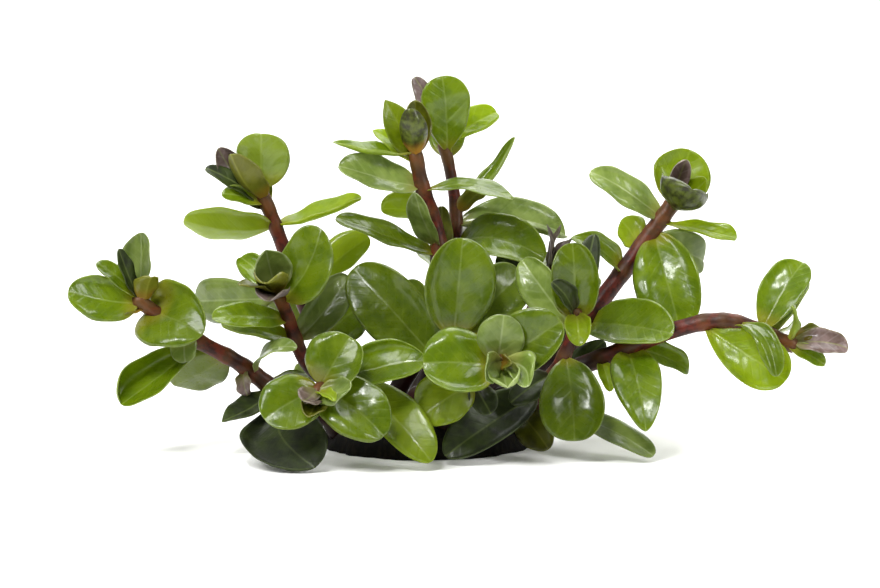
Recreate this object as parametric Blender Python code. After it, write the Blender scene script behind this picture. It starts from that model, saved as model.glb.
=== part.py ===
"""Orange juice rotala: a bushy clump of leafy shoots, cut off flat at the ground.

Every shoot grows out of one low crown. A stem follows a smooth path through a few
chosen places. A large leaf is a node of its own, a hair's gap off its stem. Young and
small leaves are fused with the stem that they grow from.

Places and sizes are in millimetres. X is right, Y is back and Z is up, from the middle
of the view on the cut face. Blender gets them in metres.
"""

from dataclasses import dataclass
from enum import Enum
from math import cos, pi, radians, sin

import bmesh
import bpy
from mathutils import Matrix, Vector

MM = 0.001

# Crown
CROWN_MIDDLE = Vector((-3.0, 0.0, 0.0))
CROWN_HALF = Vector((21.0, 16.0, 8.0))
CROWN_SIDES = 18
CROWN_RINGS = 4

# Stems
STEM_FOOT_RADIUS = 1.8
STEM_TIP_RADIUS = 1.25
STEM_SIDES = 6
STEM_RING_SPACING = 9.5
STEM_LEAVES_CROWN = 3.0
STEPS_PER_SPAN = 8

# Leaves
LEAF_THICKNESS = 0.6
LEAF_FOOT_WIDTH = 1.5
GAP = 0.3
INNER_FOOT = 0.3
HEART_LOBE = 0.2
WHORL_RISE = 0.06
OWN_GRIDS = ((13.7, (6, 5)), (0.0, (5, 5)))
FUSED_GRIDS = ((14.0, (5, 5)), (0.0, (5, 3)))
END_INSET = 0.3
MERGE_WITHIN = 0.001


class Outline(Enum):
    """How a blade's width runs, as powers of the way from the foot and from the tip."""

    ROUND = (0.45, 0.43)
    OVAL = (0.58, 0.47)
    SPOON = (0.85, 0.42)
    EGG = (0.42, 0.62)
    LANCE = (0.75, 0.85)
    HEART = (0.30, 0.50)


class Tone(Enum):
    """Plain colours, as sRGB hex."""

    GREEN = "4F7A22"
    LIGHT = "7FA03A"
    DARK = "2C4717"
    GREY = "6E8560"
    STEM = "4A160F"
    CROWN = "1E1A10"


@dataclass(frozen=True)
class Stem:
    """A shoot's stem.

    Args:
        name: the node's name.
        turn: where it leaves the crown, in degrees round from +X.
        lift: how far up the crown's side it leaves, in degrees.
        path: the places it goes through after that.
        thick: its thickness against the common one.
    """

    name: str
    turn: float
    lift: float
    path: tuple
    thick: float = 1.0


@dataclass(frozen=True)
class Leaf:
    """One leaf blade.

    Args:
        name: its own node's name, or a plain word if it is fused with its stem.
        stem: the name of its stem.
        along: where it grows on the stem, from 0 at the foot to 1 at the tip.
        tip: where it ends.
        face: the way that its upper side looks.
        width: its width across.
        outline: how that width runs.
        rise: how far its midrib bulges to the upper side, in shares of its length.
        peak: where along it that is.
        cup: how far the margins turn up, in degrees.
        twist: how far the blade turns about its midrib, in degrees.
        sweep: how far its midrib bows sideways, in shares of its length.
        own: whether it is a node of its own.
        tone: its colour.
    """

    name: str
    stem: str
    along: float
    tip: tuple
    face: tuple
    width: float
    outline: Outline = Outline.OVAL
    rise: float = 0.06
    peak: float = 0.5
    cup: float = 14.0
    twist: float = 0.0
    sweep: float = 0.0
    own: bool = False
    tone: Tone = Tone.GREEN


@dataclass(frozen=True)
class Whorl:
    """Leaves that stand round a stem at one place, each fused with it.

    Args:
        stem: the name of their stem.
        along: where they grow on it, from 0 to 1.
        turns: the way each points round the stem, in degrees from the back.
        length: their length.
        width: their width.
        spread: the angle that they leave the stem at, in degrees.
    """

    stem: str
    along: float
    turns: tuple
    length: float
    width: float
    spread: float


STEMS = (
    Stem("stem_far_left", 195, 28, ((-30, -3, 9.5), (-40, -5, 17.5), (-49, -7, 23), (-61, -8, 31.5))),
    Stem("stem_upper_left", 140, 42, ((-26, 9, 24), (-32.3, 12, 40), (-34.5, 12, 46), (-36.4, 12, 50))),
    Stem("stem_left", 175, 48, ((-25, -1, 15), (-28, -2, 19.5), (-31, -6, 29), (-33, -9, 33)), 0.9),
    Stem("stem_top_front", 120, 62, ((-2, 5, 22), (-0.1, 8, 38.5), (-3.6, 10, 51), (-5.1, 10, 58.5)), 1.05),
    Stem("stem_top_back", 75, 50, ((2, 14, 26), (3.3, 20, 42), (1.9, 22, 53), (0.3, 22, 58.5)), 0.85),
    Stem("stem_upper_centre", 50, 48, ((13, 9, 17), (19, 13, 26), (22.5, 16, 34)), 0.8),
    Stem("stem_centre", 250, 74, ((-2, -6, 13), (1, -7, 19), (4, -7, 25)), 0.9),
    Stem("stem_front", 285, 48, ((4, -13, 12), (8.5, -19, 18), (12.5, -26, 22.5)), 0.85),
    Stem("stem_front_left", 215, 50,
         ((-15, -10, 13), (-18, -14, 17.5), (-22, -20, 17), (-24.5, -26, 15.5)), 0.85),
    Stem("stem_right", 325, 40, ((17, -7.5, 9.5), (23.5, -8.5, 17.5), (26.5, -10, 25), (27, -13, 30)), 0.9),
    Stem("stem_upper_right", 30, 40, ((20, 4, 12), (32.4, 6, 28.3), (41, 10, 39.3), (47.5, 12, 48)), 1.18),
    Stem("stem_far_right", 345, 24,
         ((24, -1, 14), (34, -4, 19), (47, -7, 24.8), (58, -8.5, 26.6), (71.2, -10, 21.6)), 1.12),
    Stem("stem_back_left", 128, 26, ((-19, 18, 11), (-26, 27, 19), (-30, 32, 27)), 0.9),
    Stem("stem_back_middle", 96, 30, ((-3, 22, 12), (1, 32, 19), (4, 37, 27)), 0.9),
    Stem("stem_back_right", 52, 26, ((12, 18, 11), (20, 27, 18), (28, 32, 25)), 0.9),
)

LEAVES = (
    # Far left shoot
    Leaf("leaf_far_left_end", "stem_far_left", 0.97, (-73.5, -13, 33.5), (-0.15, -0.8, 0.55), 9.6,
         Outline.ROUND, rise=-0.08, own=True),
    Leaf("leaf_far_left_heart", "stem_far_left", 0.88, (-47.2, -17, 25.9), (0.0, -0.8, 0.6), 15,
         Outline.HEART, sweep=0.01, own=True),
    Leaf("leaf_far_left_drooping", "stem_far_left", 0.68, (-63.3, -13, 10.8), (-0.5, -0.5, 0.7), 12,
         Outline.SPOON, rise=-0.03, own=True),
    Leaf("leaf_far_left_arched", "stem_far_left", 0.41, (-28.5, -13, 22.2), (-0.7, -0.15, 0.7), 5.4,
         rise=0.2, own=True, tone=Tone.GREY),
    Leaf("leaf_far_left_low", "stem_far_left", 0.32, (-43.2, -15, 8.2), (-0.2, -0.6, 0.8), 7.6,
         Outline.LANCE, rise=-0.03, sweep=-0.08, own=True, tone=Tone.DARK),
    Leaf("behind", "stem_far_left", 0.55, (-53.5, 3, 12.1), (-0.1, 0.8, 0.5), 11.4, rise=-0.06),
    Leaf("upright", "stem_far_left", 0.98, (-59.7, -4, 43.9), (-0.75, -0.55, 0.2), 9, rise=-0.05),
    Leaf("upright inner", "stem_far_left", 0.98, (-63.5, -10, 41.5), (0.6, -0.6, 0.3), 4.5, rise=-0.05),
    Leaf("young", "stem_far_left", 0.98, (-68, -8, 38.5), (0.3, -0.8, 0.5), 4.5),
    Leaf("pale underside", "stem_far_left", 0.95, (-57.3, -12, 36.4), (-0.3, 0.6, 0.6), 5.6),
    Leaf("sliver", "stem_far_left", 0.93, (-65, -9, 27.5), (0.0, -0.2, 1.0), 4),
    Leaf("pale lobe", "stem_far_left", 0.74, (-50.6, -11, 18.8), (-0.3, -0.7, 0.7), 5.8, Outline.ROUND),
    Leaf("hanging", "stem_far_left", 0.46, (-38.4, -8, 11.6), (-0.6, -0.7, 0.1), 4),
    Leaf("back", "stem_far_left", 0.88, (-53, 5, 28), (-0.1, 0.1, 1.0), 10, rise=0.05),
    Leaf("low back", "stem_far_left", 0.35, (-27, 14, 8), (-0.3, 0.2, 0.9), 9),
    Leaf("leaf_low_dark", "stem_far_left", 0.22, (-25.2, -29, 2.2), (-0.5, -0.35, 0.8), 16.8,
         Outline.SPOON, rise=0.1, sweep=0.13, own=True, tone=Tone.DARK),
    # Upper left shoot
    Leaf("leaf_upper_left_round", "stem_upper_left", 1.0, (-35.9, 11, 61.5), (0.15, 0.85, 0.35), 11.6,
         Outline.SPOON, rise=-0.02, peak=0.58, cup=24, own=True),
    Leaf("leaf_upper_left_long", "stem_upper_left", 0.84, (-51.6, 9, 44.7), (-0.1, 0.7, 0.7), 13.8,
         rise=-0.1, own=True, tone=Tone.LIGHT),
    Leaf("leaf_upper_left_inner", "stem_upper_left", 0.84, (-16.0, 13, 48.8), (-0.35, -0.3, 0.85), 8.8,
         rise=-0.06, own=True, tone=Tone.LIGHT),
    Leaf("bud outer", "stem_upper_left", 0.96, (-44.2, 8, 56.6), (0.45, 0.8, 0.4), 9.6, Outline.ROUND,
         rise=-0.14, cup=30),
    Leaf("bud dark", "stem_upper_left", 0.92, (-45.2, 12, 59.4), (0.3, -0.9, 0.4), 7, Outline.ROUND,
         rise=-0.14),
    Leaf("bud low", "stem_upper_left", 0.95, (-44.6, 9, 51.2), (0.0, -0.8, 0.6), 4.6, Outline.ROUND),
    Leaf("bud side", "stem_upper_left", 0.94, (-47, 11, 54.6), (0.2, -0.7, 0.7), 5),
    Leaf("back", "stem_upper_left", 0.93, (-39.5, 24, 58), (0.0, -0.6, 0.6), 6, Outline.ROUND),
    Leaf("middle back", "stem_upper_left", 0.35, (-15.6, 6, 27.6), (-0.2, -0.9, 0.3), 10),
    Leaf("far", "stem_upper_left", 0.58, (-14.6, 14, 40.2), (-0.1, 0.85, 0.4), 8, Outline.SPOON,
         rise=-0.02),
    # Left shoot
    Leaf("leaf_left_big", "stem_left", 0.90, (-23.6, -9, 45.4), (-0.3, -0.85, 0.4), 12.2, Outline.ROUND,
         sweep=0.12, own=True),
    Leaf("leaf_left_low", "stem_left", 0.76, (-44.8, -15, 28.8), (-0.15, -0.8, 0.6), 6.6, rise=0.04,
         own=True),
    Leaf("leaf_left_beneath", "stem_left", 0.62, (-43.2, -8, 26.4), (-0.1, -0.6, 0.8), 7, rise=0.0,
         own=True),
    Leaf("leaf_left_inner", "stem_left", 0.60, (-18.4, 0, 34.4), (-0.2, -0.85, 0.5), 8.6, rise=0.04,
         sweep=0.06, own=True, tone=Tone.GREY),
    Leaf("round", "stem_left", 0.98, (-34.0, -11, 41.4), (0.1, -0.9, 0.3), 8.8, Outline.ROUND, rise=-0.1),
    Leaf("rolled", "stem_left", 0.99, (-33, -15, 37.5), (0.0, 0.2, 1.0), 4),
    Leaf("pale", "stem_left", 0.90, (-40, 2, 38), (0.3, -0.8, 0.5), 6),
    Leaf("flat", "stem_left", 0.97, (-39.6, -14, 35.0), (0.05, -0.18, 1.0), 5.5),
    Leaf("behind", "stem_left", 0.92, (-49.8, 7, 28.0), (-0.3, -0.95, 0.1), 9.4, Outline.SPOON,
         rise=0.03),
    Leaf("back", "stem_left", 0.88, (-29, 6, 36), (0.0, -0.3, 0.9), 8),
    # Top front shoot
    Leaf("leaf_top_front_left", "stem_top_front", 0.86, (-20, 5, 56.3), (0.15, -0.62, 0.78), 9.8,
         rise=-0.05, own=True, tone=Tone.GREY),
    Leaf("leaf_top_front_arched", "stem_top_front", 0.84, (14.5, 4, 49.6), (0.0, -0.3, 0.95), 7.4,
         rise=0.1, own=True),
    Leaf("leaf_top_front_upright", "stem_top_front", 0.63, (-4.9, 1, 51), (-0.5, -0.8, 0.1), 6, own=True,
         tone=Tone.GREY),
    Leaf("leaf_top_front_long", "stem_top_front", 0.60, (-20.5, 5, 46), (0.3, -0.35, 0.9), 7.2,
         rise=-0.02, own=True),
    Leaf("narrow", "stem_top_front", 0.99, (-21.5, 8, 60.6), (0.1, -0.4, 0.9), 5.5, Outline.LANCE,
         rise=-0.07),
    Leaf("bud front", "stem_top_front", 0.98, (-6.1, 6, 67.5), (0.0, 0.9, 0.3), 8, Outline.ROUND,
         rise=-0.18, cup=35),
    Leaf("bud back", "stem_top_front", 0.98, (-5.0, 13, 68.0), (0.0, -0.9, 0.3), 8, Outline.ROUND,
         rise=-0.18, cup=35),
    Leaf("ragged", "stem_top_front", 0.96, (-11, 11, 68.4), (0.2, -0.9, 0.3), 7, Outline.LANCE),
    Leaf("bright", "stem_top_front", 0.95, (-13.5, 13, 62), (0.2, -0.6, 0.7), 5, Outline.LANCE),
    Leaf("small", "stem_top_front", 0.76, (-11.8, 12, 46.2), (0.1, 0.85, 0.4), 8, Outline.ROUND),
    Leaf("back", "stem_top_front", 0.5, (0.4, 12.5, 46.5), (0.4, -0.9, 0.2), 5, rise=0.03),
    # Top back shoot
    Leaf("leaf_top_back_big", "stem_top_back", 0.95, (0.6, 17, 71.9), (0.2, -0.95, 0.1), 10.2,
         Outline.SPOON, peak=0.6, own=True),
    Leaf("leaf_top_back_right", "stem_top_back", 0.99, (11.5, 26, 63.8), (-0.25, -0.8, 0.5), 6.8,
         Outline.SPOON, rise=0.03, own=True, tone=Tone.LIGHT),
    Leaf("leaf_top_back_broad", "stem_top_back", 0.60, (21, 9, 36.5), (0.2, -0.8, 0.6), 11, rise=0.22,
         own=True),
    Leaf("leaf_top_back_far", "stem_top_back", 0.68, (25.6, 24, 38.6), (0.1, -0.6, 0.8), 10.5, rise=0.13,
         own=True, tone=Tone.GREY),
    Leaf("bud", "stem_top_back", 0.97, (-4.9, 26, 71), (0.5, -0.8, 0.1), 5),
    Leaf("pointed", "stem_top_back", 0.74, (14.9, 27, 58.7), (-0.7, -0.5, 0.4), 4.5, Outline.EGG,
         rise=-0.1),
    Leaf("reddish", "stem_top_back", 0.72, (9.8, 16, 50), (-0.3, 0.7, 0.6), 4.6),
    Leaf("back", "stem_top_back", 0.93, (1, 34, 63), (0.0, -0.5, 0.8), 8, Outline.ROUND),
    Leaf("middle back", "stem_top_back", 0.46, (4.2, 27, 41.0), (0.0, -0.8, 0.4), 6.2, Outline.ROUND),
    # Upper centre shoot
    Leaf("bud left", "stem_upper_centre", 0.97, (22, 14, 42.5), (0.7, -0.3, 0.5), 3, Outline.LANCE),
    Leaf("bud middle", "stem_upper_centre", 0.97, (24.5, 17, 42), (-0.7, -0.3, 0.5), 3, Outline.LANCE),
    Leaf("bud right", "stem_upper_centre", 0.95, (26.5, 15, 39.5), (-0.5, -0.5, 0.7), 3, Outline.LANCE),
    Leaf("dark front", "stem_upper_centre", 0.86, (11.5, 10, 36.5), (0.0, -0.8, 0.5), 8),
    Leaf("back", "stem_upper_centre", 0.88, (23, 29, 34), (0.0, -0.3, 0.9), 9),
    # Centre shoot
    Leaf("leaf_centre_upright", "stem_centre", 0.92, (4.5, -9, 43.2), (0.0, -0.98, 0.2), 15, rise=0.03,
         own=True),
    Leaf("leaf_centre_left", "stem_centre", 0.60, (-17.3, -1, 36.3), (-0.1, -0.9, 0.4), 13.6, rise=0.03,
         own=True),
    Leaf("right", "stem_centre", 0.97, (16.4, 1, 35.0), (0.3, -0.8, 0.4), 11),
    Leaf("left behind", "stem_centre", 0.50, (-7.6, 7, 32.0), (0.0, -0.9, 0.4), 10),
    # Front shoot
    Leaf("leaf_centre_low", "stem_front", 0.50, (-3.8, -20, 9.7), (0.0, -0.8, 0.6), 12, own=True,
         tone=Tone.LIGHT),
    Leaf("leaf_front_left_side", "stem_front", 0.83, (-3.1, -27, 21.9), (-0.1, -0.9, 0.4), 15,
         Outline.ROUND, own=True),
    Leaf("leaf_front_right_side", "stem_front", 0.84, (23.6, -27, 30.0), (0.2, -0.9, 0.35), 13,
         Outline.ROUND, own=True),
    Leaf("leaf_front_top", "stem_front", 0.91, (12.5, -26, 31), (0.0, -0.85, -0.2), 9.5, Outline.ROUND,
         own=True, tone=Tone.GREY),
    Leaf("cup right", "stem_front", 0.99, (18, -32, 23), (-0.8, -0.4, 0.3), 8, Outline.ROUND, rise=-0.12),
    Leaf("cup bottom", "stem_front", 0.99, (13, -33, 16.5), (0.0, -0.5, 0.85), 8.5, Outline.ROUND,
         rise=-0.12, cup=30),
    Leaf("cup left", "stem_front", 0.99, (9.5, -32, 23.5), (0.8, -0.4, 0.3), 6, Outline.ROUND, rise=-0.1),
    Leaf("dark left", "stem_front", 0.50, (10, -21, 10.5), (-0.2, -0.8, 0.6), 6),
    # Front left shoot
    Leaf("leaf_front_left_top", "stem_front_left", 0.90, (-17.6, -22, 26), (-0.1, -0.9, 0.4), 13,
         Outline.ROUND, own=True),
    Leaf("leaf_front_left_right", "stem_front_left", 0.90, (-11, -31, 8.5), (0.3, -0.8, 0.5), 12.8,
         Outline.ROUND, own=True),
    Leaf("leaf_front_left_left", "stem_front_left", 0.90, (-34.4, -29, 11), (-0.25, -0.9, 0.3), 12,
         Outline.ROUND, own=True),
    Leaf("leaf_front_left_curled", "stem_front_left", 0.66, (-4, -23, 22.8), (0.15, -0.75, 0.6), 11,
         rise=-0.08, own=True),
    Leaf("band", "stem_front_left", 0.99, (-20, -33, 18), (0.0, 0.2, 1.0), 6, Outline.ROUND, rise=-0.1),
    Leaf("bud", "stem_front_left", 0.99, (-26.5, -33, 15.5), (0.5, -0.1, 0.8), 5.5, Outline.ROUND,
         rise=-0.1),
    Leaf("bud low", "stem_front_left", 0.99, (-23.5, -33, 10), (0.0, -0.6, 0.8), 6),
    Leaf("leaf_low_bright", "stem_front_left", 0.36, (-2, -28, 3.1), (-0.1, -0.8, 0.6), 10.6, rise=0.04,
         own=True, tone=Tone.LIGHT),
    # Right shoot
    Leaf("leaf_low_olive", "stem_right", 0.36, (1.5, -22, 2.7), (0.05, -0.9, 0.4), 11, rise=0.04,
         own=True, tone=Tone.DARK),
    Leaf("leaf_right_big", "stem_right", 0.92, (26.2, -12, 43.0), (0.1, -0.95, 0.2), 10.6, Outline.ROUND,
         own=True),
    Leaf("leaf_right_left", "stem_right", 0.84, (16.2, -6, 38.6), (-0.3, -0.85, 0.4), 9, own=True,
         tone=Tone.GREY),
    Leaf("leaf_right_front", "stem_right", 0.66, (26.6, -21, 5.2), (0.1, -0.85, 0.5), 13.5, Outline.SPOON,
         rise=0.1, own=True),
    Leaf("folded", "stem_right", 0.98, (22.2, -19, 36.4), (0.4, -0.8, 0.5), 5.4),
    Leaf("bottom", "stem_right", 0.97, (27.4, -20, 24.2), (0.1, -0.7, 0.7), 6),
    Leaf("behind", "stem_right", 0.66, (31, 4, 42.3), (0.1, -0.9, 0.3), 6),
    Leaf("dark", "stem_right", 0.52, (14.2, -17, 12.2), (0.1, -0.8, 0.6), 6),
    Leaf("olive", "stem_right", 0.22, (21.4, -16, 2.6), (0.1, -0.9, 0.4), 7.5),
    # Upper right shoot
    Leaf("leaf_upper_right_left", "stem_upper_right", 0.92, (30.7, 10, 54.3), (0.35, -0.7, 0.6), 7,
         Outline.ROUND, rise=0.02, own=True, tone=Tone.GREY),
    Leaf("leaf_upper_right_right", "stem_upper_right", 0.91, (59.6, 8, 40.6), (0.2, -0.5, 0.85), 5.6,
         Outline.SPOON, rise=0.01, peak=0.7, own=True, tone=Tone.LIGHT),
    Leaf("leaf_upper_right_hanging", "stem_upper_right", 0.86, (48.2, -1, 23.6), (0.1, -0.9, 0.4), 13.6,
         sweep=0.02, own=True),
    Leaf("leaf_upper_right_low", "stem_upper_right", 0.48, (46, -12, 24.9), (-0.1, -0.8, 0.6), 12,
         rise=0.03, own=True),
    Leaf("arched", "stem_upper_right", 0.69, (26.6, 4.5, 41.6), (-0.1, -0.5, 0.85), 6.8, Outline.EGG,
         rise=0.09),
    Leaf("backlit", "stem_upper_right", 0.80, (36.8, 14, 43.4), (0.2, 0.85, 0.3), 7.2),
    Leaf("strip", "stem_upper_right", 0.82, (53.4, 14, 35.0), (0.2, -0.9, 0.3), 9, rise=0.2),
    Leaf("cup back", "stem_upper_right", 0.98, (52.3, 17, 56.7), (0.0, -0.9, 0.3), 13.6, Outline.ROUND,
         rise=-0.15, cup=20),
    Leaf("cup front", "stem_upper_right", 0.98, (49.4, 1, 50.2), (0.3, 0.43, 0.84), 15, Outline.ROUND,
         rise=-0.22, cup=30),
    Leaf("cup left", "stem_upper_right", 0.98, (50.2, 10, 56), (0.2, -0.9, 0.3), 5.5, rise=-0.1),
    Leaf("cup right", "stem_upper_right", 0.98, (53.5, 8, 52.6), (-0.3, -0.8, 0.5), 5, rise=-0.1),
    Leaf("back", "stem_upper_right", 0.80, (47, 27, 37), (0.0, -0.2, 1.0), 9),
    Leaf("low back", "stem_upper_right", 0.48, (40, 20, 22), (0.0, -0.2, 1.0), 9),
    # Far right shoot
    Leaf("leaf_far_right_up", "stem_far_right", 0.88, (72.3, -4, 37.8), (-0.5, -0.8, 0.2), 9.6, peak=0.58,
         own=True),
    Leaf("leaf_far_right_front", "stem_far_right", 0.8, (66.4, -20, 18.2), (0.5, -0.8, 0.3), 5,
         Outline.SPOON, rise=0.25, own=True),
    Leaf("leaf_far_right_down", "stem_far_right", 0.70, (68.3, -16, 16.2), (0.0, -0.95, 0.3), 11.4,
         Outline.SPOON, rise=0.0, cup=8, own=True, tone=Tone.LIGHT),
    Leaf("leaf_far_right_drooping", "stem_far_right", 0.45, (40.7, -21, 7.4), (0.1, -0.85, 0.5), 10,
         Outline.EGG, rise=0.1, own=True),
    Leaf("low", "stem_far_right", 0.1, (42.2, -18, 1.5), (0.3, -0.6, 0.7), 8, Outline.SPOON, rise=0.07),
    Leaf("young", "stem_far_right", 0.98, (80.9, -12, 22.2), (0.0, -0.6, 0.75), 6),
    Leaf("young upper", "stem_far_right", 0.98, (76, -8, 25.0), (-0.3, -0.5, 0.8), 4),
    Leaf("young lower", "stem_far_right", 0.97, (76.4, -12, 18.6), (-0.3, -0.6, 0.7), 4),
    Leaf("up behind", "stem_far_right", 0.91, (73, 0, 33.5), (-0.3, -0.8, 0.3), 6.5),
    Leaf("edge", "stem_far_right", 0.96, (70.0, -15, 31), (0.95, 0.0, 0.3), 3.4),
    Leaf("glossy", "stem_far_right", 0.47, (50, -3, 15.8), (0.1, -0.6, 0.8), 6.2),
    Leaf("bright", "stem_far_right", 0.36, (33.8, -12, 13.4), (0.1, -0.8, 0.5), 3.6),
    Leaf("back", "stem_far_right", 0.76, (60, 10, 21.5), (0.0, -0.2, 1.0), 10),
    Leaf("end back", "stem_far_right", 0.91, (68, 4, 22), (0.0, -0.2, 1.0), 8),
    Leaf("middle back", "stem_far_right", 0.12, (33, 2, 20.8), (-0.1, -0.8, 0.5), 6),
)

WHORLS = (
    Whorl("stem_back_left", 0.48, (60, 240), 11, 9, 75),
    Whorl("stem_back_left", 0.74, (0, 180), 14, 11, 70),
    Whorl("stem_back_left", 0.90, (80, 265), 12, 10, 55),
    Whorl("stem_back_left", 0.97, (10, 190), 7, 5, 35),
    Whorl("stem_back_middle", 0.48, (90, 270), 15, 11, 75),
    Whorl("stem_back_middle", 0.74, (0, 180), 14, 11, 70),
    Whorl("stem_back_middle", 0.90, (90, 270), 12, 10, 55),
    Whorl("stem_back_middle", 0.97, (0, 180), 7, 5, 35),
    Whorl("stem_back_right", 0.48, (100, 290), 15, 11, 75),
    Whorl("stem_back_right", 0.74, (0, 180), 14, 11, 70),
    Whorl("stem_back_right", 0.90, (95, 280), 12, 10, 55),
    Whorl("stem_back_right", 0.97, (0, 180), 7, 5, 35),
)


def material_of(tone):
    """Return the plain material of a tone, made on its first use."""
    name = "plant_" + tone.name.lower()
    if name in bpy.data.materials:
        return bpy.data.materials[name]
    material = bpy.data.materials.new(name)
    material.use_nodes = True
    shader = material.node_tree.nodes["Principled BSDF"]
    channels = [int(tone.value[i : i + 2], 16) / 255 for i in (0, 2, 4)]
    linear = [c / 12.92 if c <= 0.04045 else ((c + 0.055) / 1.055) ** 2.4 for c in channels]
    shader.inputs["Base Color"].default_value = (*linear, 1.0)
    shader.inputs["Roughness"].default_value = 0.4
    shader.inputs["Metallic"].default_value = 0.0
    return material


def new_object(name, bm, tone):
    """Put a mesh in the scene as a smooth object with its material."""
    mesh = bpy.data.meshes.new(name)
    bm.to_mesh(mesh)
    bm.free()
    mesh.materials.append(material_of(tone))
    mesh.shade_smooth()
    thing = bpy.data.objects.new(name, mesh)
    bpy.context.scene.collection.objects.link(thing)
    return thing


def crown_place(turn, lift, out=0.0):
    """Return a place on the crown's dome and the way out of it there."""
    level, side = radians(lift), radians(turn)
    unit = Vector((cos(level) * cos(side), cos(level) * sin(side), sin(level)))
    place = Vector(u * h for u, h in zip(unit, CROWN_HALF))
    normal = Vector(u / h for u, h in zip(unit, CROWN_HALF)).normalized()
    return CROWN_MIDDLE + place + normal * out, normal


def smooth_path(points):
    """Return close places on a smooth curve through the points, as a Catmull-Rom spline."""
    ends = [points[0] * 2 - points[1], *points, points[-1] * 2 - points[-2]]
    curve = []
    for a, b, c, d in zip(ends, ends[1:], ends[2:], ends[3:]):
        for step in range(STEPS_PER_SPAN):
            t = step / STEPS_PER_SPAN
            curve.append(
                b
                + (c - a) * (t / 2)
                + (a * 2 - b * 5 + c * 4 - d) * (t**2 / 2)
                + (b * 3 - a - c * 3 + d) * (t**3 / 2)
            )
    return [*curve, points[-1]]


def stem_curve(stem):
    """Return close places along a stem's middle, out of the crown and up to its tip."""
    foot, normal = crown_place(stem.turn, stem.lift, GAP)
    start = foot + normal * STEM_LEAVES_CROWN
    return smooth_path([foot, start, *(Vector(p) for p in stem.path)])


def place_along(curve, share):
    """Return the place at a share of the curve's length and the way it runs there."""
    lengths = [(b - a).length for a, b in zip(curve, curve[1:])]
    left = share * sum(lengths)
    for a, b, length in zip(curve, curve[1:], lengths):
        if left <= length:
            return a.lerp(b, left / length), (b - a).normalized()
        left -= length
    return curve[-1].copy(), (curve[-1] - curve[-2]).normalized()


def stem_radius(stem, share):
    """Return a stem's radius at a share of its length."""
    return stem.thick * (STEM_FOOT_RADIUS + (STEM_TIP_RADIUS - STEM_FOOT_RADIUS) * share)


def crown():
    """Make the low dome of grown-together stem feet, cut off flat at the ground."""
    bm = bmesh.new()
    bmesh.ops.create_uvsphere(
        bm, u_segments=CROWN_SIDES, v_segments=CROWN_RINGS * 2, radius=1.0
    )
    cut = bmesh.ops.bisect_plane(
        bm, geom=bm.verts[:] + bm.edges[:] + bm.faces[:], plane_co=(0, 0, 0),
        plane_no=(0, 0, -1), clear_outer=True,
    )
    rim = [e for e in cut["geom_cut"] if isinstance(e, bmesh.types.BMEdge)]
    bmesh.ops.contextual_create(bm, geom=rim)
    bmesh.ops.transform(
        bm, verts=bm.verts,
        matrix=Matrix.Translation(CROWN_MIDDLE * MM) @ Matrix.Diagonal((*(CROWN_HALF * MM), 1.0)),
    )
    bmesh.ops.recalc_face_normals(bm, faces=bm.faces)
    thing = new_object("crown", bm, Tone.CROWN)
    thing.data.set_sharp_from_angle(angle=radians(40))
    return thing


def stem_mesh(stem):
    """Make a stem's tube with closed ends."""
    curve = stem_curve(stem)
    length = sum((b - a).length for a, b in zip(curve, curve[1:]))
    spans = round(length / STEM_RING_SPACING)
    bm = bmesh.new()
    turn = Vector((0, 0, 1)).rotation_difference(place_along(curve, 0)[1])
    way = place_along(curve, 0)[1]
    rings = []
    for i in range(spans + 1):
        share = i / spans
        place, ahead = place_along(curve, share)
        turn = way.rotation_difference(ahead) @ turn
        way = ahead
        ring = bmesh.ops.create_circle(
            bm, segments=STEM_SIDES, radius=stem_radius(stem, share) * MM,
            matrix=Matrix.Translation(place * MM) @ turn.to_matrix().to_4x4(),
        )["verts"]
        rings.append(ring)
    for low, high in zip(rings, rings[1:]):
        edges = {e for v in low + high for e in v.link_edges if len(e.link_faces) < 2}
        loops = [e for e in edges if all(v in low for v in e.verts) or all(v in high for v in e.verts)]
        bmesh.ops.bridge_loops(bm, edges=loops)
    bmesh.ops.contextual_create(bm, geom=rings[0])
    bmesh.ops.contextual_create(bm, geom=rings[-1])
    bmesh.ops.recalc_face_normals(bm, faces=bm.faces)
    return bm


def leaf_foot(leaf, stem):
    """Return where a leaf starts: on its stem's surface, or inside it if it is fused."""
    place, ahead = place_along(stem_curve(stem), leaf.along)
    out = Vector(leaf.tip) - place
    across = out - ahead * out.dot(ahead)
    radius = stem_radius(stem, leaf.along)
    reach = radius + GAP + LEAF_THICKNESS / 2 if leaf.own else radius * INNER_FOOT
    if leaf.own and across.length < out.length * 0.5:
        return place + (across.normalized() * 0.7 + out.normalized() * 0.7) * reach
    return place + across.normalized() * reach


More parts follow.
